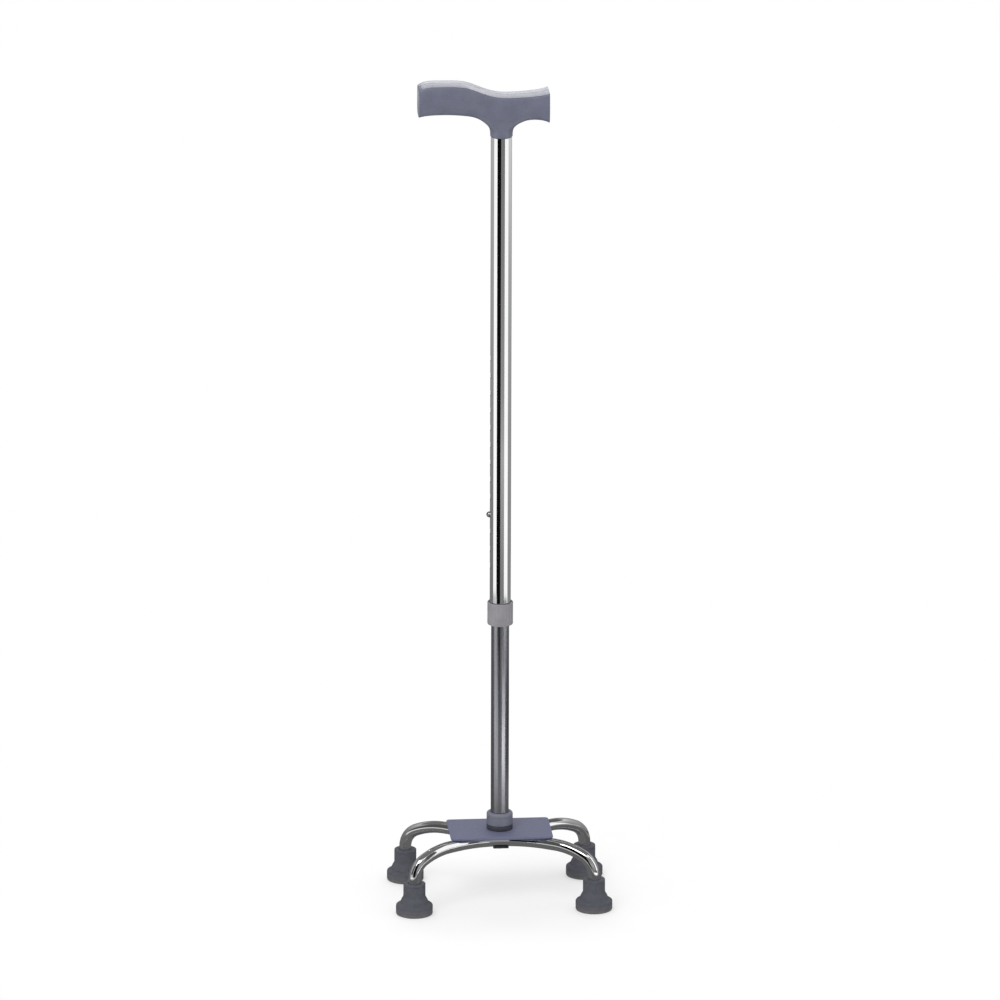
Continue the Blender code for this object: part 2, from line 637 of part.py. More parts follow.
def leg_path():
    """Centreline of the rear leg tube: bowed in plan, then bent down into each foot."""
    out = Vector((cos(LEG_ANGLE), sin(LEG_ANGLE), 0))
    dip = radians(LEG_DIP)
    sweep_steps, dip_steps, bend_steps = 3, 2, 3
    half = []
    for k in range(sweep_steps + 1):
        a = LEG_ANGLE * k / sweep_steps
        forward, aside = LEG_SWEEP_R * sin(a), LEG_SWEEP_R * (1 - cos(a))
        half.append(Vector((forward, LEG_INSET + aside, LEG_HEIGHT)))
    foot = Vector((FOOT_X, FOOT_Y, LEG_HEIGHT))
    for k in range(dip_steps + 1):
        a = dip * k / dip_steps
        back = LEG_BEND_R * (1 - sin(dip)) + LEG_DIP_R * (sin(dip) - sin(a))
        half.append(foot - out * back - Vector((0, 0, LEG_DIP_R * (1 - cos(a)))))
    for k in range(1, bend_steps + 1):
        a = dip + (pi / 2 - dip) * k / bend_steps
        drop = LEG_DIP_DROP + LEG_BEND_R * (cos(dip) - cos(a))
        half.append(foot - out * LEG_BEND_R * (1 - sin(a)) - Vector((0, 0, drop)))
    half.append(Vector((FOOT_X, FOOT_Y, TIP_H + LEG_SHOW / 2)))
    half.append(Vector((FOOT_X, FOOT_Y, LEG_END_Z)))
    mirrored = [Vector((-p.x, p.y, p.z)) for p in half[1:]]
    return mirrored[::-1] + half


def leg_tubes(material):
    """Two equal tubes, the front one turned half round from the rear one."""
    bm = swept_tube(leg_path(), LEG_TUBE_D / 2, LEG_TUBE_WALL, LEG_SIDES)
    rear = solid("rear_leg_tube", bm, material)
    front = bpy.data.objects.new("front_leg_tube", rear.data)
    placed(front, (0, 0, 0))
    front.rotation_euler.z = pi
    return rear, front


def leg_saddle(material):
    """Strap under both leg tubes, curled up round their outer sides and holed for the bolt."""
    groove_r = LEG_TUBE_D / 2 + SEAT_GAP + STRAP_BOW + STRAP_T / 2
    centre = (LEG_INSET, LEG_HEIGHT + STRAP_BOW)
    side = arc(centre, groove_r, -90, -90 + STRAP_WRAP, 5)
    path = [(-y, z) for y, z in reversed(side)] + side
    bm = bmesh.new()
    rows = [[bm.verts.new((end * STRAP_W / 2, y, z)) for end in (-1, 1)] for y, z in path]
    for one, two in zip(rows, rows[1:]):
        bm.faces.new((one[0], one[1], two[1], two[0]))
    strap = solid("leg_saddle", bm, material)
    thick = strap.modifiers.new("thickness", "SOLIDIFY")
    thick.thickness = STRAP_T
    thick.offset = 0
    thick.use_even_offset = True
    spot = Matrix.Translation((0, 0, LEG_HEIGHT + STRAP_BOW - groove_r))
    boolean("strap_hole", drill(bmesh.new(), BOLT_D + 4 * SLIP_GAP, 4 * STRAP_T, 24, spot), strap)
    return strap


def base_bolt(material):
    """Low-headed bolt with a hexagon socket, from under the strap up into the plug."""
    r = BOLT_D / 2
    head = BOLT_HEAD_D / 2
    length = LOWER_TUBE_Z + PLUG_LENGTH - BOLT_SHORT - BOLT_SEAT_Z
    outline = [
        (0, -BOLT_HEAD_H),
        (0.6 * head, -BOLT_HEAD_H),
        (0.88 * head, -0.72 * BOLT_HEAD_H),
        (head, -0.3 * BOLT_HEAD_H),
        (head, 0),
        (r, 0),
        (r, length - MM),
        (r - MM, length),
        (0, length),
    ]
    bolt = solid("base_bolt", turned(outline, 24), material, (0, 0, BOLT_SEAT_Z))
    socket = drill(
        bmesh.new(), BOLT_KEY / cos(pi / 6), BOLT_HEAD_H, 6, Matrix.Translation((0, 0, -BOLT_HEAD_H))
    )
    boolean("bolt_socket", socket, bolt)
    return bolt


def rubber_tip_mesh():
    """Ferrule with a wide foot, a bore for the leg and grooves under its tread."""
    neck = TIP_NECK_D / 2
    foot = TIP_FOOT_D / 2
    bore = LEG_TUBE_D / 2 + SLIP_GAP
    groove = TIP_GROOVE
    outline = [(0, 0)]
    for middle in (0.36 * foot, 0.66 * foot):
        outline += [(middle - groove, 0), (middle, groove), (middle + groove, 0)]
    outline += [
        (foot - 1.2 * MM, 0),
        (foot, 1.8 * MM),
        (foot, TIP_FOOT_H - 1.5 * MM),
        (foot - 1.2 * MM, TIP_FOOT_H),
        (neck + 2.2 * MM, TIP_FOOT_H + 0.62 * TIP_CONE_H),
        (neck + 0.5 * MM, TIP_FOOT_H + TIP_CONE_H),
        (neck, TIP_H - MM),
        (neck - MM, TIP_H),
        (bore, TIP_H),
        (bore, TIP_FLOOR),
        (0, TIP_FLOOR),
    ]
    return turned(outline, TIP_SIDES)


def feet(rubber, steel):
    """Four tips, each with its disc, under the ends of the leg tubes."""
    disc_r = LEG_TUBE_D / 2
    disc_outline = [(0, 0), (disc_r, 0), (disc_r, DISC_T), (0, DISC_T)]
    first_tip = first_disc = None
    for depth, y in (("front", -FOOT_Y), ("rear", FOOT_Y)):
        for side, x in (("left", -FOOT_X), ("right", FOOT_X)):
            if first_tip is None:
                first_tip = solid(f"tip_{depth}_{side}", rubber_tip_mesh(), rubber, (x, y, 0))
                disc = turned(disc_outline, TIP_SIDES)
                spot = (x, y, TIP_FLOOR + SEAT_GAP)
                first_disc = solid(f"disc_{depth}_{side}", disc, steel, spot)
                continue
            placed(bpy.data.objects.new(f"tip_{depth}_{side}", first_tip.data), (x, y, 0))
            spot = (x, y, TIP_FLOOR + SEAT_GAP)
            placed(bpy.data.objects.new(f"disc_{depth}_{side}", first_disc.data), spot)


def build():
    clear_scene()
    finish = materials()
    slide = joint_empty("height_slide", (0, 0, UPPER_TUBE_Z))
    turn = joint_empty("lock_ring_turn", (0, 0, RING_Z), slide)
    press = joint_empty("button_press", (0, 0, BUTTON_Z))
    upper_tube(finish["chrome"], slide)
    handle_grip(finish["handle"], slide)
    handle_pin(finish["steel"], slide)
    lock_bush(finish["bush"], slide)
    lock_ring(finish["ring"], turn)
    snap_button(finish["steel"], press)
    snap_spring(finish["spring"])
    lower_tube(finish["satin"])
    tube_glide(finish["bush"])
    tube_plug(finish["steel"])
    base_boss(finish["boss"])
    base_seat(finish["seat"])
    base_plate(finish["plate"])
    leg_tubes(finish["chrome"])
    leg_saddle(finish["steel"])
    base_bolt(finish["steel"])
    feet(finish["rubber"], finish["steel"])
    bpy.context.view_layer.update()


build()
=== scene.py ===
# %% [markdown]
# # A quad cane, dressed
# The cane has a moulded T handle, a bright upper tube that slides over a satin lower tube, a spring
# button and a lock ring that hold the height, and a low base: a plate on two bowed tubes with four
# rubber tips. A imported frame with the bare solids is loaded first. It fixes every size and every
# joint, so each cell below only replaces a bare solid by a finely modelled piece, or gives it a finish.

from math import atan2, cos, degrees, hypot, pi, radians, sin, sqrt

import bmesh
import bpy
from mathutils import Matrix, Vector


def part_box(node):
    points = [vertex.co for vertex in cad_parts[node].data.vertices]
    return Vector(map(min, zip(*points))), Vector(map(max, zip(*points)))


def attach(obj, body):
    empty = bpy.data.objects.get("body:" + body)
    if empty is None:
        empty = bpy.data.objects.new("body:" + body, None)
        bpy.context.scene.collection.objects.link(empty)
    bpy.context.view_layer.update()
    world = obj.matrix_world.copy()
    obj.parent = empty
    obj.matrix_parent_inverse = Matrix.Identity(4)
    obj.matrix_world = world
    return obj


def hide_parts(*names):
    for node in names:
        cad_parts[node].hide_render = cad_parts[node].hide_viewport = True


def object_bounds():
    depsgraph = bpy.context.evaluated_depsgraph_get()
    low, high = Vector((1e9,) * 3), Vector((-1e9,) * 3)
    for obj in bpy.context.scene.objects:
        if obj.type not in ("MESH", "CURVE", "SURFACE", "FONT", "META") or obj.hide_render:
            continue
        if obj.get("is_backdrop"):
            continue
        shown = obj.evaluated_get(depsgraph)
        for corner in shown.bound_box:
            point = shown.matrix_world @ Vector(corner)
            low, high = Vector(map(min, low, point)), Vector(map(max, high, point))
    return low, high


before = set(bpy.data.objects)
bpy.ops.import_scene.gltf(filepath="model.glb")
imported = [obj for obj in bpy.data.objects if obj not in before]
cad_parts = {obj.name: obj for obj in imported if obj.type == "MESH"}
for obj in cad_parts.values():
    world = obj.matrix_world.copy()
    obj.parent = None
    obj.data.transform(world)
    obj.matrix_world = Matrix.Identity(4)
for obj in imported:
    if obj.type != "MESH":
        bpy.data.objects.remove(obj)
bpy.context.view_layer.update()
MM = 0.001

# %% [markdown]
# ## Working as by hand
# Every piece starts from a primitive that is opened in edit mode, and an operator acts on all that is
# selected. So the first helpers clear the selection, open a primitive, and select points, edges or
# faces by their place, which is what a modeller does with the mouse. A mesh could also be written down
# as lists of points, but a list doesn't show how a shape comes about. The primitive's place is applied
# to its mesh at once, so that a point's own coordinates are also its place in the room.

# %% Open a primitive
def put_down():
    """Leaves edit mode and deselects everything."""
    if bpy.context.mode != "OBJECT":
        bpy.ops.object.mode_set(mode="OBJECT")
    bpy.ops.object.select_all(action="DESELECT")


def take_up(piece, mode="OBJECT"):
    """Makes a piece the only selected and active object, and opens it where the mode is EDIT."""
    put_down()
    piece.select_set(True)
    bpy.context.view_layer.objects.active = piece
    bpy.ops.object.mode_set(mode=mode)


def start(name, primitive, **settings):
    """Adds a primitive, names it and opens it in edit mode with everything selected."""
    put_down()
    primitive(**settings)
    bpy.ops.object.transform_apply(location=True, rotation=True, scale=True)
    piece = bpy.context.object
    piece.name = piece.data.name = name
    bpy.ops.object.mode_set(mode="EDIT")
    bpy.ops.mesh.select_mode(type="VERT")
    bpy.ops.mesh.select_all(action="SELECT")
    return piece


# %% Select by place and direction
HAIR = 0.001 * MM  # points nearer than this are one point
CLOSE = 0.01 * MM  # near enough to lie on a line or a face
MOSTLY = 0.9  # the share along an axis of a direction that mostly follows it
BARELY = 0.01  # the share along an axis of a direction across it


def pick(kind, wanted):
    """In edit mode, selects the verts, edges or faces for which wanted(place, direction) is true."""
    shape = bmesh.from_edit_mesh(bpy.context.object.data)
    bpy.context.tool_settings.mesh_select_mode = [kind == k for k in ("verts", "edges", "faces")]
    bpy.ops.mesh.select_all(action="DESELECT")
    count = 0
    for item in getattr(shape, kind):
        if kind == "verts":
            place, direction = item.co, item.normal
        elif kind == "edges":
            ends = [v.co for v in item.verts]
            place, direction = (ends[0] + ends[1]) / 2, (ends[1] - ends[0]).normalized()
        else:
            place, direction = item.calc_center_median(), item.normal
        if wanted(place, direction):
            item.select_set(True)
            count += 1
    shape.select_flush_mode()
    bmesh.update_edit_mesh(bpy.context.object.data)
    return count


# %% Move what is selected
def pull(shift):
    """Extrudes what is selected and moves the new end."""
    bpy.ops.mesh.extrude_region_move(TRANSFORM_OT_translate={"value": shift})


def scale(factors, middle):
    """Scales what is selected about a middle."""
    bpy.ops.transform.resize(value=factors, center_override=middle)


def turn(angle, axis, middle=(0, 0, 0)):
    """Turns what is selected by the right-hand rule. The operator itself turns the other way."""
    bpy.ops.transform.rotate(value=-angle, orient_axis=axis, center_override=middle)


def sweep(steps, angle, middle, axis):
    """Spins what is selected by an angle in degrees, by the right-hand rule, as turn does."""
    bpy.ops.mesh.spin(steps=steps, angle=-radians(angle), center=middle, axis=axis)


def close_up():
    """Merges doubled points and turns all faces outwards."""
    bpy.ops.mesh.select_all(action="SELECT")
    bpy.ops.mesh.remove_doubles(threshold=HAIR)
    bpy.ops.mesh.normals_make_consistent(inside=False)


# %% [markdown]
# ## Turned pieces
# Tubes, tips, the button and the bolt are round. On a bench they come off a lathe or out of a round
# mould, and here they are made the same way: one point is extruded along half of the cross-section,
# and Spin takes that outline once round its axis. A primitive cylinder would have no rims, steps or
# fillets, and they are what catches the light.

# %% Turn an outline round an axis
def arc(middle, radius, first, last, steps):
    """Points of an arc in the plane of an outline, with its angles in degrees."""
    angles = [radians(first + (last - first) * k / steps) for k in range(steps + 1)]
    return [(middle[0] + radius * cos(a), middle[1] + radius * sin(a)) for a in angles]


def turned(name, outline, sides, at=(0, 0, 0)):
    """Spins a closed outline of (radius, height) points round an upright axis through `at`."""
    piece = start(name, bpy.ops.mesh.primitive_plane_add, size=MM)
    bpy.ops.mesh.merge(type="CENTER")
    bpy.ops.transform.translate(value=(outline[0][0], 0, outline[0][1]))
    for (r1, z1), (r2, z2) in zip(outline, outline[1:]):
        bpy.ops.mesh.extrude_vertices_move(TRANSFORM_OT_translate={"value": (r2 - r1, 0, z2 - z1)})
    if max(outline[0][0], outline[-1][0]) > HAIR:
        ends = [Vector((r, 0, z)) for r, z in (outline[0], outline[-1])]
        pick("verts", lambda place, _: min((place - end).length for end in ends) < HAIR)
        bpy.ops.mesh.edge_face_add()
    bpy.ops.mesh.select_all(action="SELECT")
    sweep(sides, 360, (0, 0, 0), (0, 0, 1))
    close_up()
    bpy.ops.transform.translate(value=at)
    return piece


# %% [markdown]
# ## Cutting, softening and handing over
# Holes are drilled with a Boolean that is applied at once. A hole could be built into the mesh
# instead, but then the faces all round it would have to follow it. Edges that a tool would leave are
# softened with an applied Bevel. `hand_over` gives the finished piece its material and the body that
# carries it, and hides the bare solids that it stands for.

# %% Drill and soften
def modify(piece, kind, **settings):
    """Adds a modifier with these settings and applies it."""
    take_up(piece)
    bpy.ops.object.modifier_add(type=kind)
    modifier = piece.modifiers[-1]
    for key, value in settings.items():
        setattr(modifier, key, value)
    bpy.ops.object.modifier_apply(modifier=modifier.name)


def cut_out(piece, tool):
    """Takes the shape of a tool out of a piece, and the tool away."""
    modify(piece, "BOOLEAN", object=tool, operation="DIFFERENCE")
    bpy.data.objects.remove(tool)


def drill(piece, diameter, length, middle, axis="Z", sides=48):
    """Cuts a round hole, along X or Z."""
    aim = (0, pi / 2, 0) if axis == "X" else (0, 0, 0)
    cut_out(piece, start("drill", bpy.ops.mesh.primitive_cylinder_add, vertices=sides,
                         radius=diameter / 2, depth=length, location=middle, rotation=aim))


def soften(piece, width, steps, angle):
    """Rounds every edge that is sharper than an angle in degrees."""
    modify(piece, "BEVEL", width=width, segments=steps, limit_method="ANGLE",
           angle_limit=radians(angle), use_clamp_overlap=True, harden_normals=False)


# %% Hand a finished piece over to the frame
def hand_over(piece, material, body, slot, *stands_for, smooth=35):
    """Shades a finished piece, gives it its finish and lets it ride on a body of the frame."""
    take_up(piece)
    bpy.ops.object.shade_smooth_by_angle(angle=radians(smooth))
    bpy.ops.object.transform_apply(location=True, rotation=True, scale=True)
    piece.data.materials.clear()
    piece.data.materials.append(material)
    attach(piece, body)
    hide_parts(*stands_for)
    size = [round(side / MM, 1) for side in piece.dimensions]
    print(f"{piece.name}: {len(piece.data.polygons)} faces, {size} mm")


# %% [markdown]
# ## The camera
# The photo was taken a little from the left of the middle and from about 18 degrees above, and the
# cane hardly narrows with distance. A parallel camera would show it without any narrowing, but a long
# lens keeps the trace that there is, so one stands 30 m away. The frame is 1.05 m wide, and the camera
# leans by a seventh of a degree, which is all that the shaft is off the upright in the photo.

# %% Stand the camera
SIDEWAYS = radians(-5.0)
ABOVE = radians(17.7)
LEAN = radians(0.15)
DISTANCE = 30.0
FRAME_WIDTH = 1.0515
AIM_HEIGHT = 0.4367
AIM_ASIDE = 0.5 * MM
SENSOR_WIDTH = 36.0
FAR_CLIP = 100.0

towards_camera = Vector((sin(SIDEWAYS) * cos(ABOVE), -cos(SIDEWAYS) * cos(ABOVE), sin(ABOVE)))
level_right = Vector((cos(SIDEWAYS), sin(SIDEWAYS), 0))
aim = Vector((0, 0, AIM_HEIGHT)) - level_right * AIM_ASIDE

put_down()
bpy.ops.object.camera_add(location=aim + towards_camera * DISTANCE)
camera = bpy.context.object
camera.name = "photo_camera"
camera.rotation_euler = towards_camera.to_track_quat("Z", "Y").to_euler()
camera.rotation_euler.rotate_axis("Z", LEAN)
camera.data.sensor_width = SENSOR_WIDTH
camera.data.lens = SENSOR_WIDTH * DISTANCE / FRAME_WIDTH
camera.data.clip_end = FAR_CLIP
bpy.context.scene.camera = camera
print("lens in mm:", round(camera.data.lens, 1))

# %% [markdown]
# ## Materials in nodes
# Nearly every material and the light of the room are small trees of shader nodes. They could be wired
# by hand in the node editor. Here `add_node` adds a node and `feed` fills its inputs, with values or
# with links from other nodes, so that a tree reads from its first pattern down to the shader.

# %% Add a node, and start a material
def feed(node, inputs):
    """Gives each input a value, or a link from a socket or from the first live output of a node."""
    for name, value in inputs.items():
        if isinstance(value, bpy.types.Node):
            value = next(socket for socket in value.outputs if socket.enabled)
        if isinstance(value, bpy.types.NodeSocket):
            node.id_data.links.new(value, node.inputs[name])
        else:
            node.inputs[name].default_value = value


def add_node(tree, kind, inputs, **options):
    """Adds a node of a kind, sets its options and feeds its inputs."""
    made = tree.nodes.new(kind)
    for name, value in options.items():
        setattr(made, name, value)
    feed(made, inputs)
    return made


def own_place(tree):
    """The coordinates of a piece's own mesh, which stay on the piece when it moves."""
    return add_node(tree, "ShaderNodeTexCoord", {}).outputs["Object"]


def shader_of(material):
    """The Principled shader that a finish is built on."""
    return material.node_tree.nodes["Principled BSDF"]


def finish(name, colour, roughness, metallic=0.0, specular=0.5):
    """A Principled material with the values that are the same all over."""
    made = bpy.data.materials.new(name)
    made.use_nodes = True
    feed(shader_of(made), {"Base Color": (*colour, 1), "Roughness": roughness, "Metallic": metallic,
                           "Specular IOR Level": specular})
    made.diffuse_color = (*colour, 1)
    return made


# %% [markdown]
# ## The room and its lamps
# The photo has the even light of a product shot: a bright room all round, one large soft lamp above
# the camera's left, and a lamp behind, which draws the pale band along the top of the handle. A
# picture of a studio could light the cane as well, but this takes a few plain values. The world is
# white. It gives three quarters of full light to what it lights, and shows as full white to the
# camera and in reflections.

# %% Paint the room white
ROOM_LIGHT = 0.74
WHITE = (1, 1, 1, 1)


def seen_directly(tree):
    """A factor that is 1 for rays from the camera, from a mirror-like face or through glass."""
    rays = add_node(tree, "ShaderNodeLightPath", {}).outputs
    either = rays["Is Camera Ray"]
    for other in ("Is Glossy Ray", "Is Transmission Ray"):
        either = add_node(tree, "ShaderNodeMath", {0: either, 1: rays[other]}, operation="MAXIMUM")
    return either


world = bpy.data.worlds.new("white_room")
world.use_nodes = True
tree = world.node_tree
strength = add_node(tree, "ShaderNodeMapRange",
                    {"Value": seen_directly(tree), "To Min": ROOM_LIGHT, "To Max": 1})
feed(tree.nodes["Background"], {"Color": WHITE, "Strength": strength})
bpy.context.scene.world = world
bpy.context.scene.view_settings.view_transform = "Standard"
print("the room lights at", ROOM_LIGHT, "of full white")

# %% Hang two soft lamps
FRONT_LAMP = ("front_lamp", (-0.9, -1.5, 2.3), (0, 0, 0.4), 26.0, "DISK", 1.8, 1.8)
BACK_LAMP = ("back_lamp", (0, 2.0, 1.55), (0, 0, 0.88), 15.0, "RECTANGLE", 2.6, 0.8)


def soft_lamp(name, spot, aimed_at, power, shape, width, height):
    """An area lamp that faces a point of the cane and doesn't show itself to the camera."""
    put_down()
    bpy.ops.object.light_add(type="AREA", location=spot)
    lamp = bpy.context.object
    lamp.name = name
    lamp.data.shape = shape
    lamp.data.size = width
    lamp.data.size_y = height
    lamp.data.energy = power
    lamp.visible_camera = False
    lamp.rotation_euler = (Vector(spot) - Vector(aimed_at)).to_track_quat("Z", "Y").to_euler()
    print(name, "of", power, "W,", width, "m wide")


soft_lamp(*FRONT_LAMP)
soft_lamp(*BACK_LAMP)

# %% [markdown]
# ## The floor
# The cane stands on a white sweep of paper that runs on into a white background. A big white plane
# would do, but it would show its own grey and its far edge. So the floor is a disc that keeps the
# soft shadow of the base, and fades into a glow of full white further out.

# %% Lay the floor
FLOOR_R = 1.6
FLOOR_WHITE = 0.95
FADE_FROM = 0.08
FADE_TO = 0.36
FADE_LEAST = 0.4


def from_origin(tree):
    """How far a point is from the middle of the floor, where every piece has its origin."""
    return add_node(tree, "ShaderNodeVectorMath", {0: own_place(tree)}, operation="LENGTH")


floor = start("studio_floor", bpy.ops.mesh.primitive_circle_add, vertices=96, radius=FLOOR_R,
              fill_type="NGON")
put_down()
paper = finish("white_floor", (FLOOR_WHITE, FLOOR_WHITE, FLOOR_WHITE), 1, specular=0)
tree = paper.node_tree
fade = add_node(tree, "ShaderNodeMapRange", {"Value": from_origin(tree), "From Min": FADE_FROM,
                                             "From Max": FADE_TO, "To Min": FADE_LEAST},
                interpolation_type="SMOOTHSTEP")
shown = add_node(tree, "ShaderNodeMath", {0: fade, 1: seen_directly(tree)}, operation="MULTIPLY")
glow = add_node(tree, "ShaderNodeEmission", {"Color": WHITE})
mix = add_node(tree, "ShaderNodeMixShader", {"Fac": shown, 1: shader_of(paper), 2: glow})
feed(tree.nodes["Material Output"], {"Surface": mix})
floor.data.materials.append(paper)
floor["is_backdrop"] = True
print("a floor of", 2 * FLOOR_R, "m, white from", FADE_TO, "m out")

# %% [markdown]
# ## What the metal sees
# A chrome tube shows nothing but its surroundings, squeezed into stripes. On the upper tube they are,
# from left to right: grey, white, a narrow black one near the middle, grey, white, grey. They could be
# painted on the tube, but then they would stay where they are when the cane is turned. A photographer
# gets them with black and grey cards round the cane, and so does this scene.
#
# The camera looks down, so an upright tube mirrors what is lower than itself: the upper tube sees the
# standing cards, and the lower tube sees their foot and the cards on the floor. The bands in the
# photo fade along the tubes, so the greys of these cards are graded. The leg tubes lie, and also look
# up, back and far out. Where no card stands, the room shows as white. The cards show in reflections
# only, and neither light the cane nor shade it. Two kinds of floor card are painted light and shade of
# the floor itself: the lit ones are painted lamp light, the brightest glowing above the white room, and
# the card under the base is painted shadow of the base.

# %% List the cards
# Edges are pairs of (radius, height), with the line between them spun round the cane.
WALL = ((0.75, 0.0), (0.75, 0.65))
TALL_WALL = ((0.75, 0.0), (0.75, 0.85))
LEFT_FOOT = ((0.74, 0.0), (0.74, 0.1))
RIGHT_FOOT = ((0.74, 0.0), (0.74, 0.095))
HIGH_WALL = ((0.75, 0.65), (0.75, 1.4))
FAR_WALL = ((4.0, 0.08), (4.0, 6.5))
REAR = ((0.4, 0.25), (0.4, 0.74))
OVERHEAD = ((0.0, 1.5), (0.8, 1.5))
FLOOR = ((0.12, 0.001), (0.75, 0.001))
UNDER_BASE = ((0.0, 0.001), (0.12, 0.001))

# Each grey comes after the metres out (lying card) or up (standing card) where it is reached.
CARDS = [
    ("black_wall_card", -43, -1, TALL_WALL, [(0, 0.004)]),
    ("grey_wall_card", -1, 40, TALL_WALL,
     [(0.1, 0.2), (0.17, 0.27), (0.25, 0.38), (0.32, 0.27), (0.6, 0.18)]),
    ("right_wall_card", 85, 178, WALL, [(0.1, 0.23), (0.22, 0.26), (0.46, 0.37), (0.6, 0.6)]),
    ("left_wall_card", -178, -84, WALL, [(0.1, 0.17), (0.33, 0.27), (0.6, 0.42)]),
    ("low_left_card", -84, -38, LEFT_FOOT, [(0, 0.5)]),
    ("low_dark_card", 36, 68, RIGHT_FOOT, [(0, 0.12)]),
    ("low_grey_card", 68, 90, RIGHT_FOOT, [(0, 0.5)]),
    ("high_right_card", 95, 155, HIGH_WALL, [(0, 0.1)]),
    ("high_left_card", -155, -84, HIGH_WALL, [(0, 0.15)]),
    ("far_left_card", -84, -45, FAR_WALL, [(0, 0.08)]),
    ("far_right_card", 40, 60, FAR_WALL, [(0, 0.08)]),
    ("rear_card", 150, 210, REAR, [(0, 0.12)]),
    ("card_overhead", -180, 180, OVERHEAD, [(0, 0.15)]),
    ("front_floor_card", -24, 25, FLOOR, [(0.27, 0.1), (0.35, 0.45), (0.5, 0.24), (0.75, 0.13)]),
    # painted light: the lit floor cards stand in for lamp light on the floor as the metal mirrors it,
    # and lit_floor_card glows brighter than the white room.
    ("lit_floor_card", 25, 70, FLOOR,
     [(0.27, 0.1), (0.33, 0.8), (0.4, 1.0), (0.46, 1.75), (0.6, 1.65), (0.68, 1.0), (0.75, 0.2)]),
    ("right_floor_card", 70, 178, FLOOR, [(0.27, 0.1), (0.33, 0.3), (0.45, 0.12), (0.75, 0.02)]),
    ("left_lit_floor_card", -77, -24, FLOOR, [(0.27, 0.1), (0.35, 0.55), (0.4, 0.55), (0.46, 0.9)]),
    ("left_floor_card", -178, -77, FLOOR, [(0, 0.14)]),
    # painted shadow: a dark card under the base, seen only in reflections, stands in for the base's
    # shadow on the floor.
    ("painted_base_shadow_card", -180, 180, UNDER_BASE, [(0, 0.12)]),
]
print(len(CARDS), "cards, of which", sum(len(greys) > 1 for *_, greys in CARDS), "are graded")

# %% Bend the cards round the cane
BRIGHTEST = 1.8
CARD_STEPS = 24


def bearing(angle, radius, height):
    """A point at an angle to the right of the camera's direction, seen from the cane."""
    turned_by = radians(angle) + SIDEWAYS
    return Vector((radius * sin(turned_by), -radius * cos(turned_by), height))


def graded_paper(name, near, far, stops):
    """Paper that glows in greys, each given with its metres from the middle of the floor."""
    made = bpy.data.materials.new(name)
    made.use_nodes = True
    tree = made.node_tree
    tree.nodes.remove(shader_of(made))
    span = add_node(tree, "ShaderNodeMapRange",
                    {"Value": from_origin(tree), "From Min": near, "From Max": far})
    ramp = add_node(tree, "ShaderNodeValToRGB", {"Fac": span})
    marks = ramp.color_ramp.elements
    marks.remove(marks[1])
    for number, (distance, grey) in enumerate(stops):
        position = min(max((distance - near) / (far - near), 0), 1)
        mark = marks[0] if number == 0 else marks.new(position)
        mark.position = position
        tone = grey / BRIGHTEST
        mark.color = (tone, tone, tone, 1)
    glow = add_node(tree, "ShaderNodeEmission", {"Color": ramp, "Strength": BRIGHTEST})
    feed(tree.nodes["Material Output"], {"Surface": glow})
    return made


def card(name, first, last, edges, greys):
    """A bent card that only mirrors see, from a first to a last bearing in degrees."""
    near, far = (bearing(first, *edge) for edge in edges)
    board = start(name, bpy.ops.mesh.primitive_plane_add, size=MM)
    bpy.ops.mesh.merge(type="CENTER")
    bpy.ops.transform.translate(value=near)
    bpy.ops.mesh.extrude_vertices_move(TRANSFORM_OT_translate={"value": far - near})
    bpy.ops.mesh.select_all(action="SELECT")
    sweep(CARD_STEPS, last - first, (0, 0, 0), (0, 0, 1))
    put_down()
    standing = edges[0][0] == edges[1][0]
    stops = [(hypot(metres, edges[0][0]) if standing else metres, grey) for metres, grey in greys]
    board.data.materials.append(graded_paper(name, near.length, far.length, stops))
    board.visible_camera = False
    board.visible_diffuse = False
    board.visible_transmission = False
    board.visible_shadow = False
    board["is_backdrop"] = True
    print(name, "from", first, "to", last, "degrees in", len(greys), "greys")


for card_settings in CARDS:
    card(*card_settings)

# %% [markdown]
# ## Finishes: the tools
# A real surface is never one even colour. Each finish below mixes a few noise patterns on Object
# coordinates, so that a pattern stays on its piece when the piece moves. A photographed texture would
# need a picture and an unwrapped mesh, and a pattern needs neither. `grain` makes one of a real size
# in metres, drawn out along an axis where the finish was rubbed or rolled. `mottle` lets it drift the
# colour, `vary_gloss` the roughness, and `relief` raises it by a real height. `lay_over` puts a second
# colour on top.

# %% Patterns, and what they change
CLOUD_SPAN = (0.35, 0.65)
GLOSS_SPAN = (0.3, 0.7)


def grain(material, size, stretch=(1, 1, 1), detail=3.0):
    """Noise with grains of about that size, drawn out along each axis by stretch."""
    tree = material.node_tree
    fit = add_node(tree, "ShaderNodeMapping",
                   {"Vector": own_place(tree), "Scale": [1 / (size * s) for s in stretch]})
    return add_node(tree, "ShaderNodeTexNoise", {"Vector": fit, "Scale": 1, "Detail": detail})


def mottle(material, pattern, dark, light):
    """Lets a pattern drift the colour between two tones."""
    ramp = add_node(material.node_tree, "ShaderNodeValToRGB", {"Fac": pattern})
    for mark, position, tone in zip(ramp.color_ramp.elements, CLOUD_SPAN, (dark, light)):
        mark.position = position
        mark.color = (*tone, 1)
    feed(shader_of(material), {"Base Color": ramp})


def vary_gloss(material, pattern, smooth, dull):
    """Lets a pattern drift the roughness between two values."""
    low, high = GLOSS_SPAN
    span = add_node(material.node_tree, "ShaderNodeMapRange",
                    {"Value": pattern, "From Min": low, "From Max": high,
                     "To Min": smooth, "To Max": dull})
    feed(shader_of(material), {"Roughness": span})


def relief(material, pattern, height):
    """Raises a pattern by a height in metres, on top of any relief that is there."""
    bump = add_node(material.node_tree, "ShaderNodeBump",
                    {"Strength": 1, "Distance": height, "Height": pattern})
    shader = shader_of(material)
    for link in shader.inputs["Normal"].links:
        feed(bump, {"Normal": link.from_socket})
    feed(shader, {"Normal": bump})


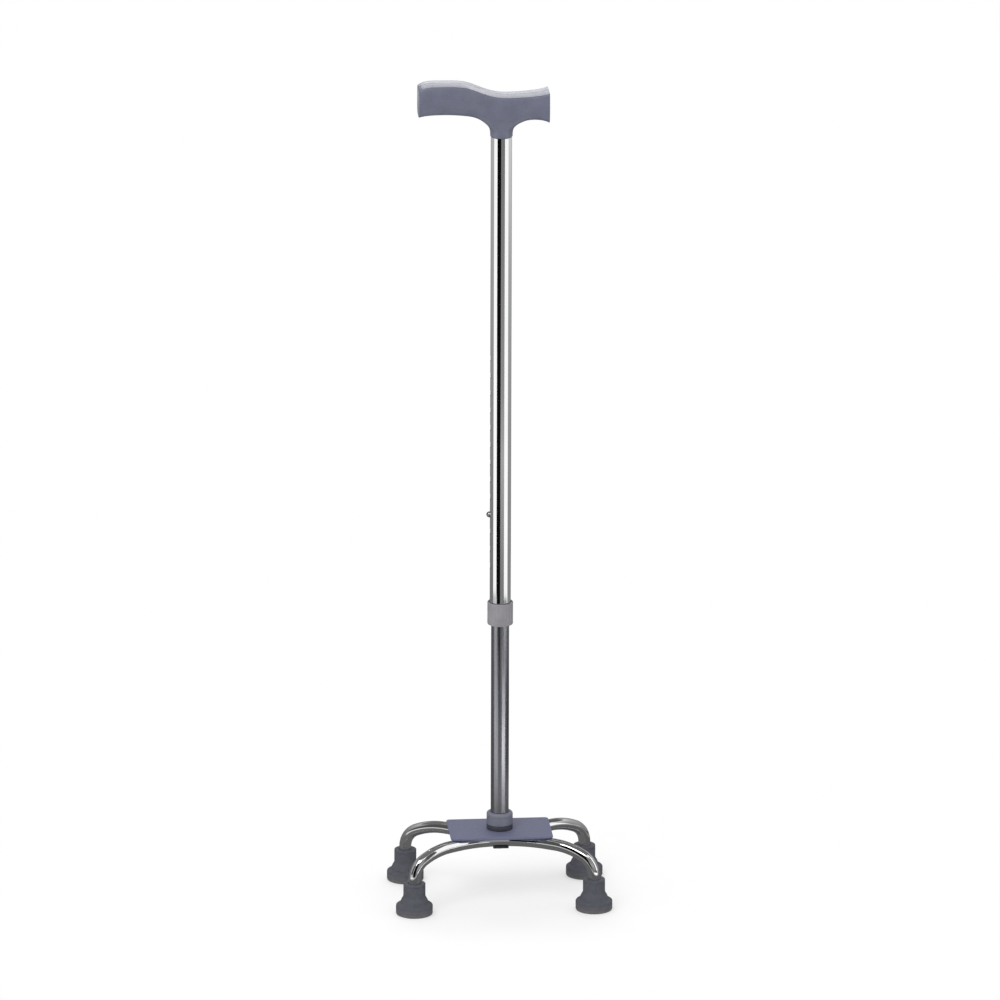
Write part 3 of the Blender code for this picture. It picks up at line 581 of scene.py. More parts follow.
def lay_over(material, factor, colour):
    """Lays a second colour over the mottled one, as far as a factor goes."""
    shader = shader_of(material)
    below = shader.inputs["Base Color"].links[0].from_socket
    mix = add_node(material.node_tree, "ShaderNodeMix",
                   {"Factor": factor, "A": below, "B": (*colour, 1)}, data_type="RGBA")
    feed(shader, {"Base Color": mix})


# %% [markdown]
# ## Finishes: the metals
# The upper tube and the leg tubes are bright chrome over a polished tube: nearly a mirror, with faint
# lengthwise waves from drawing and hair-fine polishing lines. The lower tube is a darker satin metal,
# rubbed lengthwise by the bush that slides on it. The button, the pin and the discs are zinc plated,
# and the strap and its bolt have a darker plating. An even mirror would be simpler, but only the
# waves and lines make its reflections look like those of real tube.

# %% Chrome, satin, zinc and dark plating
BARE_STEEL = (0.1, 0.1, 0.105)
PLATING_REACH = 0.05 * MM


def unplated_bore(material, radius):
    """Bare dull steel wherever a tube round the Z axis is nearer to its axis than a radius."""
    tree = material.node_tree
    flat = add_node(tree, "ShaderNodeVectorMath", {0: own_place(tree), 1: (1, 1, 0)},
                    operation="MULTIPLY")
    away = add_node(tree, "ShaderNodeVectorMath", {0: flat}, operation="LENGTH")
    inside = add_node(tree, "ShaderNodeMath", {0: away, 1: radius}, operation="LESS_THAN")
    lay_over(material, inside, BARE_STEEL)


def chrome(name, bore_r=None):
    made = finish(name, (0.94, 0.94, 0.95), 0.06, 1.0)
    haze = grain(made, 14 * MM, (1, 1, 6))
    mottle(made, haze, (0.92, 0.92, 0.935), (0.96, 0.96, 0.965))
    vary_gloss(made, haze, 0.035, 0.085)
    if bore_r:
        unplated_bore(made, bore_r)
    relief(made, grain(made, 9 * MM, (1, 1, 14), 1.0), 0.004 * MM)
    relief(made, grain(made, 0.35 * MM, (1, 1, 90)), 0.0002 * MM)
    return made


def satin_grey():
    made = finish("satin_grey_metal", (0.44, 0.44, 0.48), 0.2, 1.0)
    brushed = grain(made, 0.5 * MM, (1, 1, 120), 4.0)
    mottle(made, grain(made, 6 * MM, (1, 1, 9)), (0.41, 0.41, 0.45), (0.47, 0.47, 0.51))
    vary_gloss(made, brushed, 0.15, 0.27)
    relief(made, brushed, 0.0022 * MM)
    return made


def zinc():
    made = finish("zinc_plate", (0.5, 0.5, 0.5), 0.3, 1.0)
    spangle = grain(made, 0.9 * MM, detail=2.0)
    mottle(made, spangle, (0.43, 0.43, 0.44), (0.58, 0.58, 0.57))
    vary_gloss(made, spangle, 0.22, 0.4)
    relief(made, grain(made, 0.12 * MM), 0.002 * MM)
    return made


def dark_plating():
    made = finish("dark_plating", (0.2, 0.2, 0.22), 0.4, 1.0)
    rolled = grain(made, 1.6 * MM, (5, 1, 1))
    mottle(made, rolled, (0.16, 0.16, 0.18), (0.25, 0.25, 0.27))
    vary_gloss(made, rolled, 0.32, 0.5)
    relief(made, grain(made, 0.3 * MM), 0.006 * MM)
    return made


def spring_blue():
    made = finish("spring_steel", (0.25, 0.25, 0.27), 0.3, 1.0)
    temper = grain(made, 5 * MM)
    mottle(made, temper, (0.17, 0.18, 0.23), (0.3, 0.28, 0.27))
    vary_gloss(made, temper, 0.24, 0.36)
    relief(made, grain(made, 0.2 * MM, (1, 1, 12)), 0.002 * MM)
    return made


tube_low, tube_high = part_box("upper_tube")
TUBE_R = (tube_high.x - tube_low.x) / 2
tube_chrome = chrome("tube_chrome", TUBE_R - PLATING_REACH)
bright_chrome = chrome("bright_chrome")
satin_metal = satin_grey()
zinc_plate = zinc()
dark_metal = dark_plating()
spring_metal = spring_blue()
print("six metals made")

# %% [markdown]
# ## Finishes: the plastics, the paint and the rubber
# The handle is a hard grey-blue plastic with a fine moulded grain and a soft shine. The ring and the
# boss are plainer mouldings. The plate is powder coated, which leaves a skin like orange peel. The
# tips are dull rubber with a trace of dust near the floor. One flat colour each would look like a
# drawing, so each has a cloud of two close tones, a gloss that drifts, and a skin that is raised by
# one to three hundredths of a millimetre.

# %% Plastics, powder coat and rubber
MOULD_SKIN = 0.012 * MM
DUST = (0.21, 0.2, 0.185)
DUST_HEIGHT = 9 * MM


def moulded(name, dark, light, smooth, dull):
    """A moulded plastic: cloudy colour, and the fine skin that the mould's spark-eroded face leaves."""
    middle = [(a + b) / 2 for a, b in zip(dark, light)]
    made = finish(name, middle, (smooth + dull) / 2)
    mottle(made, grain(made, 17 * MM, detail=5.0), dark, light)
    vary_gloss(made, grain(made, 2.2 * MM), smooth, dull)
    relief(made, grain(made, 0.35 * MM, detail=2.0), MOULD_SKIN)
    return made


def powder_coat():
    made = finish("grey_blue_powder_coat", (0.144, 0.154, 0.24), 0.5, specular=0.35)
    mottle(made, grain(made, 0.6 * MM, detail=4.0), (0.128, 0.137, 0.219), (0.16, 0.17, 0.262))
    vary_gloss(made, grain(made, 3 * MM), 0.44, 0.58)
    relief(made, grain(made, 1.1 * MM, detail=1.0), 0.03 * MM)
    return made


def tip_rubber():
    """Dull rubber, paler with dust in the lowest few millimetres."""
    made = finish("dark_grey_rubber", (0.085, 0.09, 0.11), 0.72)
    mottle(made, grain(made, 5 * MM, detail=5.0), (0.074, 0.078, 0.096), (0.088, 0.092, 0.112))
    tree = made.node_tree
    place = add_node(tree, "ShaderNodeSeparateXYZ", {"Vector": own_place(tree)})
    low = add_node(tree, "ShaderNodeMapRange",
                   {"Value": place.outputs["Z"], "From Min": DUST_HEIGHT, "From Max": 0})
    patches = grain(made, 1.4 * MM, detail=6.0)
    dusty = add_node(tree, "ShaderNodeMath", {0: low, 1: patches}, operation="MULTIPLY")
    lay_over(made, dusty, DUST)
    vary_gloss(made, grain(made, 1.8 * MM), 0.62, 0.82)
    relief(made, grain(made, 0.4 * MM), 0.03 * MM)
    return made


handle_plastic = moulded("grey_handle_plastic", (0.125, 0.132, 0.184), (0.149, 0.157, 0.214), 0.26, 0.36)
ring_plastic = moulded("light_grey_plastic", (0.235, 0.222, 0.245), (0.295, 0.28, 0.305), 0.36, 0.5)
boss_plastic = moulded("grey_boss_plastic", (0.15, 0.156, 0.205), (0.186, 0.194, 0.245), 0.34, 0.48)
seat_plastic = moulded("dark_seat_plastic", (0.045, 0.047, 0.06), (0.065, 0.068, 0.082), 0.4, 0.55)
nylon = moulded("white_nylon", (0.7, 0.7, 0.66), (0.78, 0.78, 0.75), 0.38, 0.5)
plate_paint = powder_coat()
rubber = tip_rubber()
print("seven plastics, coats and rubbers made")

# %% [markdown]
# ## The handle: a box pulled into a T
# The handle is moulded in one piece: a long arm with a level top, a lower saddle over the shaft, a
# short arm with a flared end, and a funnel that runs down into a round collar. A sculpted form like
# this could be built from sections, but a subdivided box gives a surface that flows through the T
# without seams. So a box is cut in eight, its ends are pulled out station by station, and its
# underside is opened and bridged to the collar.

# %% Set out the stations of both arms
LONG_ARM = 87.6 * MM
SHORT_ARM = 49.8 * MM
HANDLE_W = 30 * MM
COLLAR_GAP = 0.3 * MM
FUNNEL_TOP = 12 * MM
ARM_UNDERSIDE = 25.2 * MM
ARM_DEPTH = 34 * MM
SADDLE_DROP = 13.2 * MM
UNDER_DROP = 6 * MM
NOSE_ROUND = 7 * MM
NOSE_LIP = 3.4 * MM
FINGER_SWELL = 3.2 * MM
END_FLARE = 3.8 * MM

COLLAR_R = TUBE_R + 0.7 * MM
collar_z = tube_high.z + COLLAR_GAP
crown = ARM_UNDERSIDE + ARM_DEPTH
saddle = crown - SADDLE_DROP
short_underside = ARM_UNDERSIDE - UNDER_DROP
stem = 1.2 * COLLAR_R

# A station is a place along the handle, the heights of its top and underside there, over the foot of
# the collar, and a share of its width.
middle_stations = [
    (-stem, saddle + 0.2 * SADDLE_DROP, FUNNEL_TOP, 0.97),
    (0, saddle - 0.05 * SADDLE_DROP, FUNNEL_TOP, 0.96),
    (stem, saddle - 0.03 * SADDLE_DROP, FUNNEL_TOP, 0.96),
]
long_arm_stations = [
    (-0.29 * LONG_ARM, saddle + 0.55 * SADDLE_DROP, ARM_UNDERSIDE - 1.2 * FINGER_SWELL, 1.0),
    (-0.45 * LONG_ARM, crown, ARM_UNDERSIDE - 0.5 * FINGER_SWELL, 1.0),
    (-0.68 * LONG_ARM, crown, ARM_UNDERSIDE, 1.0),
    (NOSE_ROUND - LONG_ARM, crown + 0.08 * NOSE_ROUND, ARM_UNDERSIDE - 0.2 * NOSE_LIP, 1.02),
    (-LONG_ARM, crown - 0.6 * NOSE_ROUND, ARM_UNDERSIDE - 0.8 * NOSE_LIP, 0.93),
]
short_arm_stations = [
    (0.55 * SHORT_ARM, saddle, short_underside - 0.1 * END_FLARE, 0.97),
    (0.9 * SHORT_ARM, saddle + 0.5 * END_FLARE, short_underside - 0.6 * END_FLARE, 1.02),
    (SHORT_ARM, saddle + 1.1 * END_FLARE, short_underside - 1.4 * END_FLARE, 1.08),
]
print("the handle reaches over", round((LONG_ARM + SHORT_ARM) / MM, 1), "mm")

# %% Pull the arms out of a box
SECTION_CORNER = 0.92
END_CREASE = 0.75
TOP_CREASE = 0.8


def fit_ring(now, wanted):
    """Moves and scales the selected ring from one station to another."""
    x, top, under, share = wanted
    old_x, old_top, old_under, old_share = now
    shift = (x - old_x, 0, (top + under - old_top - old_under) / 2)
    bpy.ops.transform.translate(value=shift)
    middle = (x, 0, collar_z + (top + under) / 2)
    scale((1, share / old_share, (top - under) / (old_top - old_under)), middle)


def pull_arm(side, stations):
    """Pulls one end of the box out through the stations of an arm, and creases its last rim."""
    pick("faces", lambda place, normal: side * normal.x > MOSTLY)
    for now, wanted in zip(stations, stations[1:]):
        pull((0, 0, 0))
        fit_ring(now, wanted)
    bpy.ops.mesh.region_to_loop()
    bpy.ops.transform.edge_crease(value=END_CREASE)


_, box_top, box_under, box_share = middle_stations[1]
box_depth = box_top - box_under
box_middle = (0, 0, collar_z + (box_top + box_under) / 2)
handle = start("moulded_handle", bpy.ops.mesh.primitive_cube_add, size=1, location=box_middle)
scale((2 * stem, box_share * HANDLE_W, box_depth), box_middle)
bpy.ops.mesh.subdivide(number_cuts=1)
pick("verts", lambda place, _: abs(place.y) > MM and abs(place.z - box_middle[2]) > MM)
scale((1, SECTION_CORNER, SECTION_CORNER), box_middle)
for side, station in ((-1, middle_stations[0]), (1, middle_stations[2])):
    pick("verts", lambda place, _: side * place.x > 0.5 * stem)
    fit_ring((side * stem, box_top, box_under, box_share), station)
pull_arm(-1, [middle_stations[0], *long_arm_stations])
pull_arm(1, [middle_stations[2], *short_arm_stations])
pick("edges", lambda place, along: abs(along.x) > MOSTLY and abs(place.x) < stem
     and abs(place.y) > 0.3 * HANDLE_W and place.z > box_middle[2] + 0.3 * box_depth)
bpy.ops.mesh.loop_multi_select(ring=False)
bpy.ops.transform.edge_crease(value=TOP_CREASE)
print("the cage of both arms has", len(bmesh.from_edit_mesh(handle.data).faces), "faces")

# %% Open the underside and run the funnel into the collar
COLLAR_H = 7 * MM
COLLAR_SWELL = 1.03
CAGE_DRAW_IN = 0.9024
RIM_CREASE = 0.9
SMOOTHING = 4

pick("faces", lambda place, normal: normal.z < -0.7 and abs(place.x) < stem
     and place.z < collar_z + FUNNEL_TOP + 2 * MM)
bpy.ops.mesh.delete(type="FACE")
bpy.ops.mesh.primitive_circle_add(vertices=8, radius=COLLAR_SWELL * COLLAR_R / CAGE_DRAW_IN,
                                  location=(0, 0, collar_z + COLLAR_H))
bpy.ops.mesh.select_mode(type="EDGE")
bpy.ops.mesh.select_non_manifold()
bpy.ops.mesh.bridge_edge_loops()
pick("edges", lambda place, _: abs(place.z - collar_z - COLLAR_H) < CLOSE)
pull((0, 0, -0.6 * COLLAR_H))
scale((1 / COLLAR_SWELL, 1 / COLLAR_SWELL, 1), (0, 0, collar_z))
pull((0, 0, -0.4 * COLLAR_H))
bpy.ops.mesh.edge_face_add()
bpy.ops.transform.edge_crease(value=RIM_CREASE)
close_up()
modify(handle, "SUBSURF", levels=SMOOTHING, render_levels=SMOOTHING)
print("the smooth handle has", len(handle.data.polygons), "faces")

# %% [markdown]
# ## The handle's mould line, spigot and pin hole
# A handle like this is moulded in two halves, which leave a fine line along its middle, over the top
# and under the arms. The line could be a dark stripe in the material, but a real groove also catches
# the light, so it is bevelled out of the middle edges and let in by a tenth of a millimetre. Below the
# collar a round spigot goes down into the tube, and a steel pin holds it there.

# %% Let in the mould line
MOULD_LINE_W = 0.25 * MM
MOULD_LINE_DEPTH = 0.12 * MM

take_up(handle, "EDIT")
line = pick("edges", lambda place, along: abs(place.y) < HAIR and abs(along.y) < BARELY
            and place.z > collar_z + MM)
bpy.ops.mesh.bevel(offset=MOULD_LINE_W, segments=2, affect="EDGES")
pick("verts", lambda place, _: abs(place.y) < HAIR and place.z > collar_z + MM)
bpy.ops.transform.shrink_fatten(value=-MOULD_LINE_DEPTH)
print("the mould line runs along", line, "edges")

# %% Pull the spigot out of the collar, and drill it for the pin
SPIGOT_LENGTH = 40 * MM
SPIGOT_CHAMFER = 1 * MM
SLIP_GAP = 0.2 * MM
TUBE_WALL = 1.2 * MM
PIN_D = 4 * MM
PIN_DOWN = 15 * MM
PIN_HOLE_D = PIN_D + 2 * SLIP_GAP

pick("faces", lambda place, normal: normal.z < -0.95 and place.z < collar_z + 0.2 * MM)
rim_r = max(hypot(v.co.x, v.co.y) for v in bmesh.from_edit_mesh(handle.data).verts if v.select)
spigot_r = TUBE_R - TUBE_WALL - SLIP_GAP
pull((0, 0, 0))
scale((spigot_r / rim_r, spigot_r / rim_r, 1), (0, 0, collar_z))
pull((0, 0, SPIGOT_CHAMFER - SPIGOT_LENGTH))
pull((0, 0, -SPIGOT_CHAMFER))
chamfered = 1 - SPIGOT_CHAMFER / spigot_r
scale((chamfered, chamfered, 1), (0, 0, collar_z))
put_down()
pin_z = tube_high.z - PIN_DOWN
drill(handle, PIN_HOLE_D, 2 * TUBE_R, (0, 0, pin_z), "X")
hand_over(handle, handle_plastic, "upper_section", "handle_plastic", "handle_grip", smooth=50)
print("a spigot of", round(2 * spigot_r / MM, 1), "mm")

# %% [markdown]
# ## The cross pin
# The pin is a short steel rod whose ends are slightly domed, flush with the tube on both sides. A
# cylinder would have flat ends, so it is turned upright from half of its outline, and laid along X.

# %% Turn the pin
PIN_DOME = 0.5 * MM

dome_r = ((PIN_D / 2) ** 2 + PIN_DOME ** 2) / (2 * PIN_DOME)
half_angle = degrees(atan2(PIN_D / 2, dome_r - PIN_DOME))
upper_dome = arc((0, TUBE_R - dome_r), dome_r, 90, 90 - half_angle, 6)
outline = [(max(r, 0), z) for r, z in upper_dome]
outline += [(r, -z) for r, z in reversed(outline)]
pin = turned("cross_pin", outline, 40)
turn(pi / 2, "Y")
bpy.ops.transform.translate(value=(0, 0, pin_z))
hand_over(pin, zinc_plate, "upper_section", "plain_steel", "handle_pin")

# %% [markdown]
# ## The upper tube
# A drawn steel tube with turned ends, and a row of holes down its left side for the button. A plain
# cylinder could be drilled too, but each hole would bend the reflections along its whole length. So
# the tube is turned with a ring of points above and below each hole, and the faces between the holes
# mirror cleanly. Its skin gets the normals of a plain round tube, which mends those round the holes.

# %% Tools for both tubes
TUBE_SIDES = 120
BROKEN_EDGE = 0.3 * MM
HOLE_D = 6.8 * MM
HOLE_MARGIN = 5 * MM
HOLE_RIM = 0.22 * MM
NEAR_SKIN = 0.1 * MM
NEAR_RIM = 0.03 * MM
SKIN_ANGLE = radians(30)


def tube_outline(radius, low, high, rings):
    """Cross-section of a tube's wall with eased ends, and points at the heights in rings."""
    inner, edge = radius - TUBE_WALL, BROKEN_EDGE
    outer_side = [(radius, z) for z in (low + edge, *rings, high - edge)]
    inner_side = [(inner, z) for z in (high - edge, *reversed(rings), low + edge)]
    return [(inner + edge, low), (radius - edge, low), *outer_side,
            (radius - edge, high), (inner + edge, high), *inner_side]


def button_holes(tube, radius, heights):
    """Drills the button's holes in the left side, and breaks their edges as a countersink does."""
    for z in heights:
        drill(tube, HOLE_D, 2 * radius, (-radius, 0, z), "X")
    take_up(tube, "EDIT")
    eased = pick("edges", lambda place, _: place.x < 0
                 and hypot(place.x, place.y) > radius - NEAR_SKIN
                 and min(abs(hypot(place.y, place.z - z) - HOLE_D / 2) for z in heights) < NEAR_RIM)
    bpy.ops.mesh.bevel(offset=HOLE_RIM, segments=2, affect="EDGES")
    put_down()
    print("eased", eased, "edges round", len(heights), "holes")


def true_skin(tube, radius):
    """Gives the skin of a drilled tube the normals of a plain round one, right up to its holes."""
    normals = [corner.vector.copy() for corner in tube.data.corner_normals]
    for face in tube.data.polygons:
        for corner in face.loop_indices:
            place = tube.data.vertices[tube.data.loops[corner].vertex_index].co
            out = Vector((place.x, place.y, 0))
            on_skin = out.length > radius - CLOSE
            if on_skin and face.normal.dot(out.normalized()) > cos(SKIN_ANGLE):
                normals[corner] = out.normalized()
    tube.data.normals_split_custom_set(normals)


# %% Turn and drill the upper tube
HOLE_PITCH = 19.05 * MM
HOLES_BELOW = 3
HOLES_ABOVE = 9

button_low, button_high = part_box("snap_button")
button_z = (button_low.z + button_high.z) / 2
hole_heights = [button_z + k * HOLE_PITCH for k in range(-HOLES_BELOW, HOLES_ABOVE + 1)]
rings = [z + side * HOLE_MARGIN for z in (*hole_heights, pin_z) for side in (-1, 1)]
outline = tube_outline(TUBE_R, tube_low.z, tube_high.z, rings)
upper_tube = turned("drilled_upper_tube", outline, TUBE_SIDES)
drill(upper_tube, PIN_HOLE_D, 4 * TUBE_R, (0, 0, pin_z), "X", 32)
button_holes(upper_tube, TUBE_R, hole_heights)
hand_over(upper_tube, tube_chrome, "upper_section", "chrome_tube", "upper_tube")
true_skin(upper_tube, TUBE_R)

# %% [markdown]
# ## The lower tube
# The lower tube is thinner, and slides in the upper one. Near its top it has the one hole that the
# button comes through. It could be a scaled copy of the upper tube, but then it would have all the
# holes of that one and a thinner wall. So it is turned anew with the same tools.

# %% Turn and drill the lower tube
lower_low, lower_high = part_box("lower_tube")
LOWER_R = (lower_high.x - lower_low.x) / 2
rings = [button_z - HOLE_MARGIN, button_z + HOLE_MARGIN]
outline = tube_outline(LOWER_R, lower_low.z, lower_high.z, rings)
lower_tube = turned("satin_lower_tube", outline, TUBE_SIDES)
button_holes(lower_tube, LOWER_R, [button_z])
hand_over(lower_tube, satin_metal, "base", "satin_tube", "lower_tube")
true_skin(lower_tube, LOWER_R)

# %% [markdown]
# ## The snap button
# The button is a domed steel stud. A flange behind it stops against the inside of the lower tube, and
# a rivet holds it to its leaf spring. A dome alone would look the same from outside, but it would
# hang in its hole with nothing behind it. So the whole stud is turned in one piece and laid along X,
# pointing left.

# %% Turn the button
BUTTON_R = 3.2 * MM
BUTTON_NECK_EASE = 0.25 * MM
FLANGE_R = BUTTON_R + 1.1 * MM
FLANGE_T = 1.1 * MM
RIVET_R = 1.5 * MM
RIVET_HEAD_R = RIVET_R + 1 * MM
RIVET_HEAD_T = 0.8 * MM
SEAT_GAP = 0.3 * MM

dome_top = -button_low.x
flange_face = sqrt((LOWER_R - TUBE_WALL) ** 2 - FLANGE_R ** 2) - SEAT_GAP
flange_back = flange_face - FLANGE_T
rivet_end = -button_high.x
outline = [
    *[(max(r, 0), z) for r, z in arc((0, dome_top - BUTTON_R), BUTTON_R, 90, 0, 14)],
    (BUTTON_R, flange_face + BUTTON_NECK_EASE),
    (BUTTON_R + BUTTON_NECK_EASE, flange_face),
    (FLANGE_R, flange_face),
    (FLANGE_R, flange_back),
    (RIVET_R, flange_back),
    (RIVET_R, rivet_end + RIVET_HEAD_T),
    (RIVET_HEAD_R, rivet_end + RIVET_HEAD_T),
    (RIVET_HEAD_R, rivet_end),
    (0, rivet_end),
]
button = turned("domed_button", outline, 48)
turn(-pi / 2, "Y")
bpy.ops.transform.translate(value=(0, 0, button_z))
hand_over(button, zinc_plate, "snap_button", "plain_steel", "snap_button")

# %% [markdown]
# ## The lock ring
# A light grey nut of plastic, with twenty upright ribs round its grip. The ribs could be added one by
# one, but a mould leaves soft valleys between them. So the ring is turned with eight points to a rib,
# and then every valley between two ribs is pressed in, deepest in its middle.

# %% Turn the ring
RIBS = 20
POINTS_PER_RIB = 8
RIB_BAND = 15 * MM
BAND_ROWS = [row * MM for row in (-0.9, -0.4, 0, 0.4, 0.9)]
RING_WALL = 1.2 * MM
RING_LIP = 1.3 * MM
RING_EASE = 0.9 * MM
RING_RIM_EASE = 0.2 * MM


def round_size(node):
    """The radius, the height and the foot of a round solid of the frame."""
    low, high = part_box(node)
    return (high.x - low.x) / 2, high.z - low.z, low.z


ring_r, ring_h, ring_z = round_size("lock_ring")
ring_bore = LOWER_R + SLIP_GAP
cap_bore = ring_r - RING_WALL
band_low = (ring_h - RIB_BAND) / 2
band_high = ring_h - band_low
outline = [
    (ring_bore, BROKEN_EDGE),
    (ring_bore + BROKEN_EDGE, 0),
    (ring_r - RING_EASE, 0),
    (ring_r - 0.3 * RING_EASE, 0.3 * RING_EASE),
    (ring_r, RING_EASE),
    *[(ring_r, band_low + row) for row in BAND_ROWS],
    *[(ring_r, band_high - row) for row in reversed(BAND_ROWS)],
    *arc((ring_r - RING_EASE, ring_h - RING_EASE), RING_EASE, 0, 80, 4),
    (cap_bore + RING_RIM_EASE, ring_h),
    (cap_bore, ring_h - RING_RIM_EASE),
    (cap_bore, RING_LIP),
    (ring_bore, RING_LIP),
]
ring = turned("ribbed_lock_ring", outline, RIBS * POINTS_PER_RIB, (0, 0, ring_z))
print("the ring's outline has", len(outline), "points")

# %% Press in its valleys
RIB_DEPTH = 0.45 * MM
# Shares of the depth in the lanes of a valley, from its flanks to its middle. A lane holds the
# points for which cos(RIBS * angle) is between the other two numbers.
LANES = ((0.35, -0.1, 0.5), (0.65, -0.8, -0.1), (1.0, -1.1, -0.8))
# Shares of the depth in the rows of a valley, each after its distance into the band.
ROWS = ((0.9 * MM, 1.0), (0.4 * MM, 0.8), (0.0, 0.35))


def press_points(share, row, least, most):
    """Presses in one lane of every valley, at a distance into the band from below and above."""
    heights = (ring_z + band_low + row, ring_z + band_high - row)
    count = pick("verts", lambda place, _: least < cos(RIBS * atan2(place.y, place.x)) < most
                 and min(abs(place.z - z) for z in heights) < CLOSE
                 and hypot(place.x, place.y) > ring_r - CLOSE)
    drawn_in = 1 - share * RIB_DEPTH / ring_r
    scale((drawn_in, drawn_in, 1), (0, 0, ring_z))
    return count


pressed = 0
for lane_share, least, most in LANES:
    for row, row_share in ROWS:
        pressed += press_points(lane_share * row_share, row, least, most)
print("pressed in", pressed, "points of", RIBS, "valleys")
hand_over(ring, ring_plastic, "lock_ring", "ring_plastic", "lock_ring", smooth=40)

# %% [markdown]
# ## The boss and the seat
# The foot of the lower tube stands in a dark cup on the plate, and a grey sleeve with a rounded
# shoulder stands over the joint. Both are turned, because their rims, shoulder and the shallow groove
# that the mould's ring left below it are all one outline.

# %% Turn the boss
BOSS_SHOULDER = 2.5 * MM
BOSS_GROOVE = 0.35 * MM
BOSS_GROOVE_DOWN = 2.2 * MM


def shallow_groove(radius, middle, depth, mouth=0.5 * MM, bottom=0.2 * MM):
    """Points of a groove round a turned piece, with half its width at the mouth and at the bottom."""
    floor_r = radius - depth
    return [(radius, middle - mouth), (floor_r, middle - bottom),
            (floor_r, middle + bottom), (radius, middle + mouth)]


boss_r, boss_h, boss_z = round_size("base_boss")
socket = LOWER_R + SLIP_GAP
outline = [
    (socket, 0),
    (boss_r - BROKEN_EDGE, 0),
    (boss_r, BROKEN_EDGE),
    *shallow_groove(boss_r, boss_h - BOSS_SHOULDER - BOSS_GROOVE_DOWN, BOSS_GROOVE),
    *arc((boss_r - BOSS_SHOULDER, boss_h - BOSS_SHOULDER), BOSS_SHOULDER, 0, 84, 8),
    (socket + BROKEN_EDGE, boss_h),
    (socket, boss_h - BROKEN_EDGE),
]
boss = turned("moulded_boss", outline, 96, (0, 0, boss_z))
hand_over(boss, boss_plastic, "base", "boss_plastic", "base_boss")

# %% Turn the seat
SEAT_EASE = 0.6 * MM
SEAT_FLOOR = 2.5 * MM
BOLT_R = 4 * MM
BOLT_HOLE_R = BOLT_R + 2 * SLIP_GAP

seat_r, seat_h, seat_z = round_size("base_seat")
outline = [
    (BOLT_HOLE_R, 0),
    *arc((seat_r - SEAT_EASE, SEAT_EASE), SEAT_EASE, -90, 0, 4),
    *arc((seat_r - SEAT_EASE, seat_h - SEAT_EASE), SEAT_EASE, 0, 90, 4),
    (socket, seat_h),
    (socket, SEAT_FLOOR),
    (BOLT_HOLE_R, SEAT_FLOOR),
]
seat = turned("seat_cup", outline, 96, (0, 0, seat_z))
hand_over(seat, seat_plastic, "base", "seat_plastic", "base_seat")

# %% [markdown]
# ## The plate
# A flat steel plate with rounded corners. Its powder coat rounds every edge a little, which shows as
# a fine light line round the top, and which a plain box can't show. A box is scaled to the plate, its
# upright edges are bevelled to the corner radius, then both rims, and the bolt's hole is drilled.

# %% Shape the plate
PLATE_CORNER_R = 4 * MM
PLATE_EDGE_R = 0.6 * MM

plate_low, plate_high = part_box("base_plate")
plate_size = plate_high - plate_low
plate_middle = (plate_high + plate_low) / 2
plate = start("coated_plate", bpy.ops.mesh.primitive_cube_add, size=1, location=plate_middle)
scale(plate_size, plate_middle)
pick("edges", lambda _, along: abs(along.z) > MOSTLY)
bpy.ops.mesh.bevel(offset=PLATE_CORNER_R, segments=12, affect="EDGES")
pick("edges", lambda place, along: abs(along.z) < BARELY
     and abs(abs(place.z - plate_middle.z) - plate_size.z / 2) < CLOSE)
bpy.ops.mesh.bevel(offset=PLATE_EDGE_R, segments=4, affect="EDGES")
close_up()
drill(plate, 2 * BOLT_HOLE_R, 4 * plate_size.z, plate_middle, sides=64)
hand_over(plate, plate_paint, "base", "plate_paint", "base_plate")

# %% [markdown]
# ## The leg tubes
# Each leg tube is one length of chromed tube. Under the plate it bows towards the middle. Outside the
# plate it dips in a wide bend, and then a tight bend takes it straight down into a rubber tip. A
# bevelled curve could follow that line, but its handles don't give a bend of a set radius. So the
# bends are made as on a tube bender: a ring of points is spun through the bow, pulled straight, spun
# through both bends and pulled down. Half a tube is enough, because Mirror makes the other half, and
# Solidify gives the wall.

# %% Work out the bends
LEG_R = 6.35 * MM
LEG_HEIGHT = 64.35 * MM
LEG_TURN = 1.3
LEG_DIP = radians(25)
LEG_DIP_R = 80 * MM
LEG_SHOW = 3 * MM
TIP_H = 34 * MM
BOLT_ROOM = 3.65 * MM

tip_low, tip_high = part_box("tip_rear_right")
foot_x, foot_y = (tip_low.x + tip_high.x) / 2, (tip_low.y + tip_high.y) / 2
leg_inset = BOLT_R + BOLT_ROOM + LEG_R
leg_angle = LEG_TURN * atan2(foot_y - leg_inset, foot_x)
bow_r = (foot_x * sin(leg_angle) - (foot_y - leg_inset) * cos(leg_angle)) / (1 - cos(leg_angle))
dip_drop = LEG_DIP_R * (1 - cos(LEG_DIP))
bend_r = (LEG_HEIGHT - TIP_H - LEG_SHOW - dip_drop) / cos(LEG_DIP)
outwards = Vector((cos(leg_angle), sin(leg_angle), 0))
foot = Vector((foot_x, foot_y, LEG_HEIGHT))
bow_end = Vector((bow_r * sin(leg_angle), leg_inset + bow_r * (1 - cos(leg_angle)), LEG_HEIGHT))
dip_start = foot - outwards * (bend_r * (1 - sin(LEG_DIP)) + LEG_DIP_R * sin(LEG_DIP))
bend_middle = foot - outwards * bend_r - Vector((0, 0, dip_drop + bend_r * cos(LEG_DIP)))
print("bow of", round(bow_r / MM, 1), "mm through", round(degrees(leg_angle), 1), "degrees")

# %% Bend the rear tube
BOW_STEPS = 16
DIP_STEPS = 8
BEND_STEPS = 12

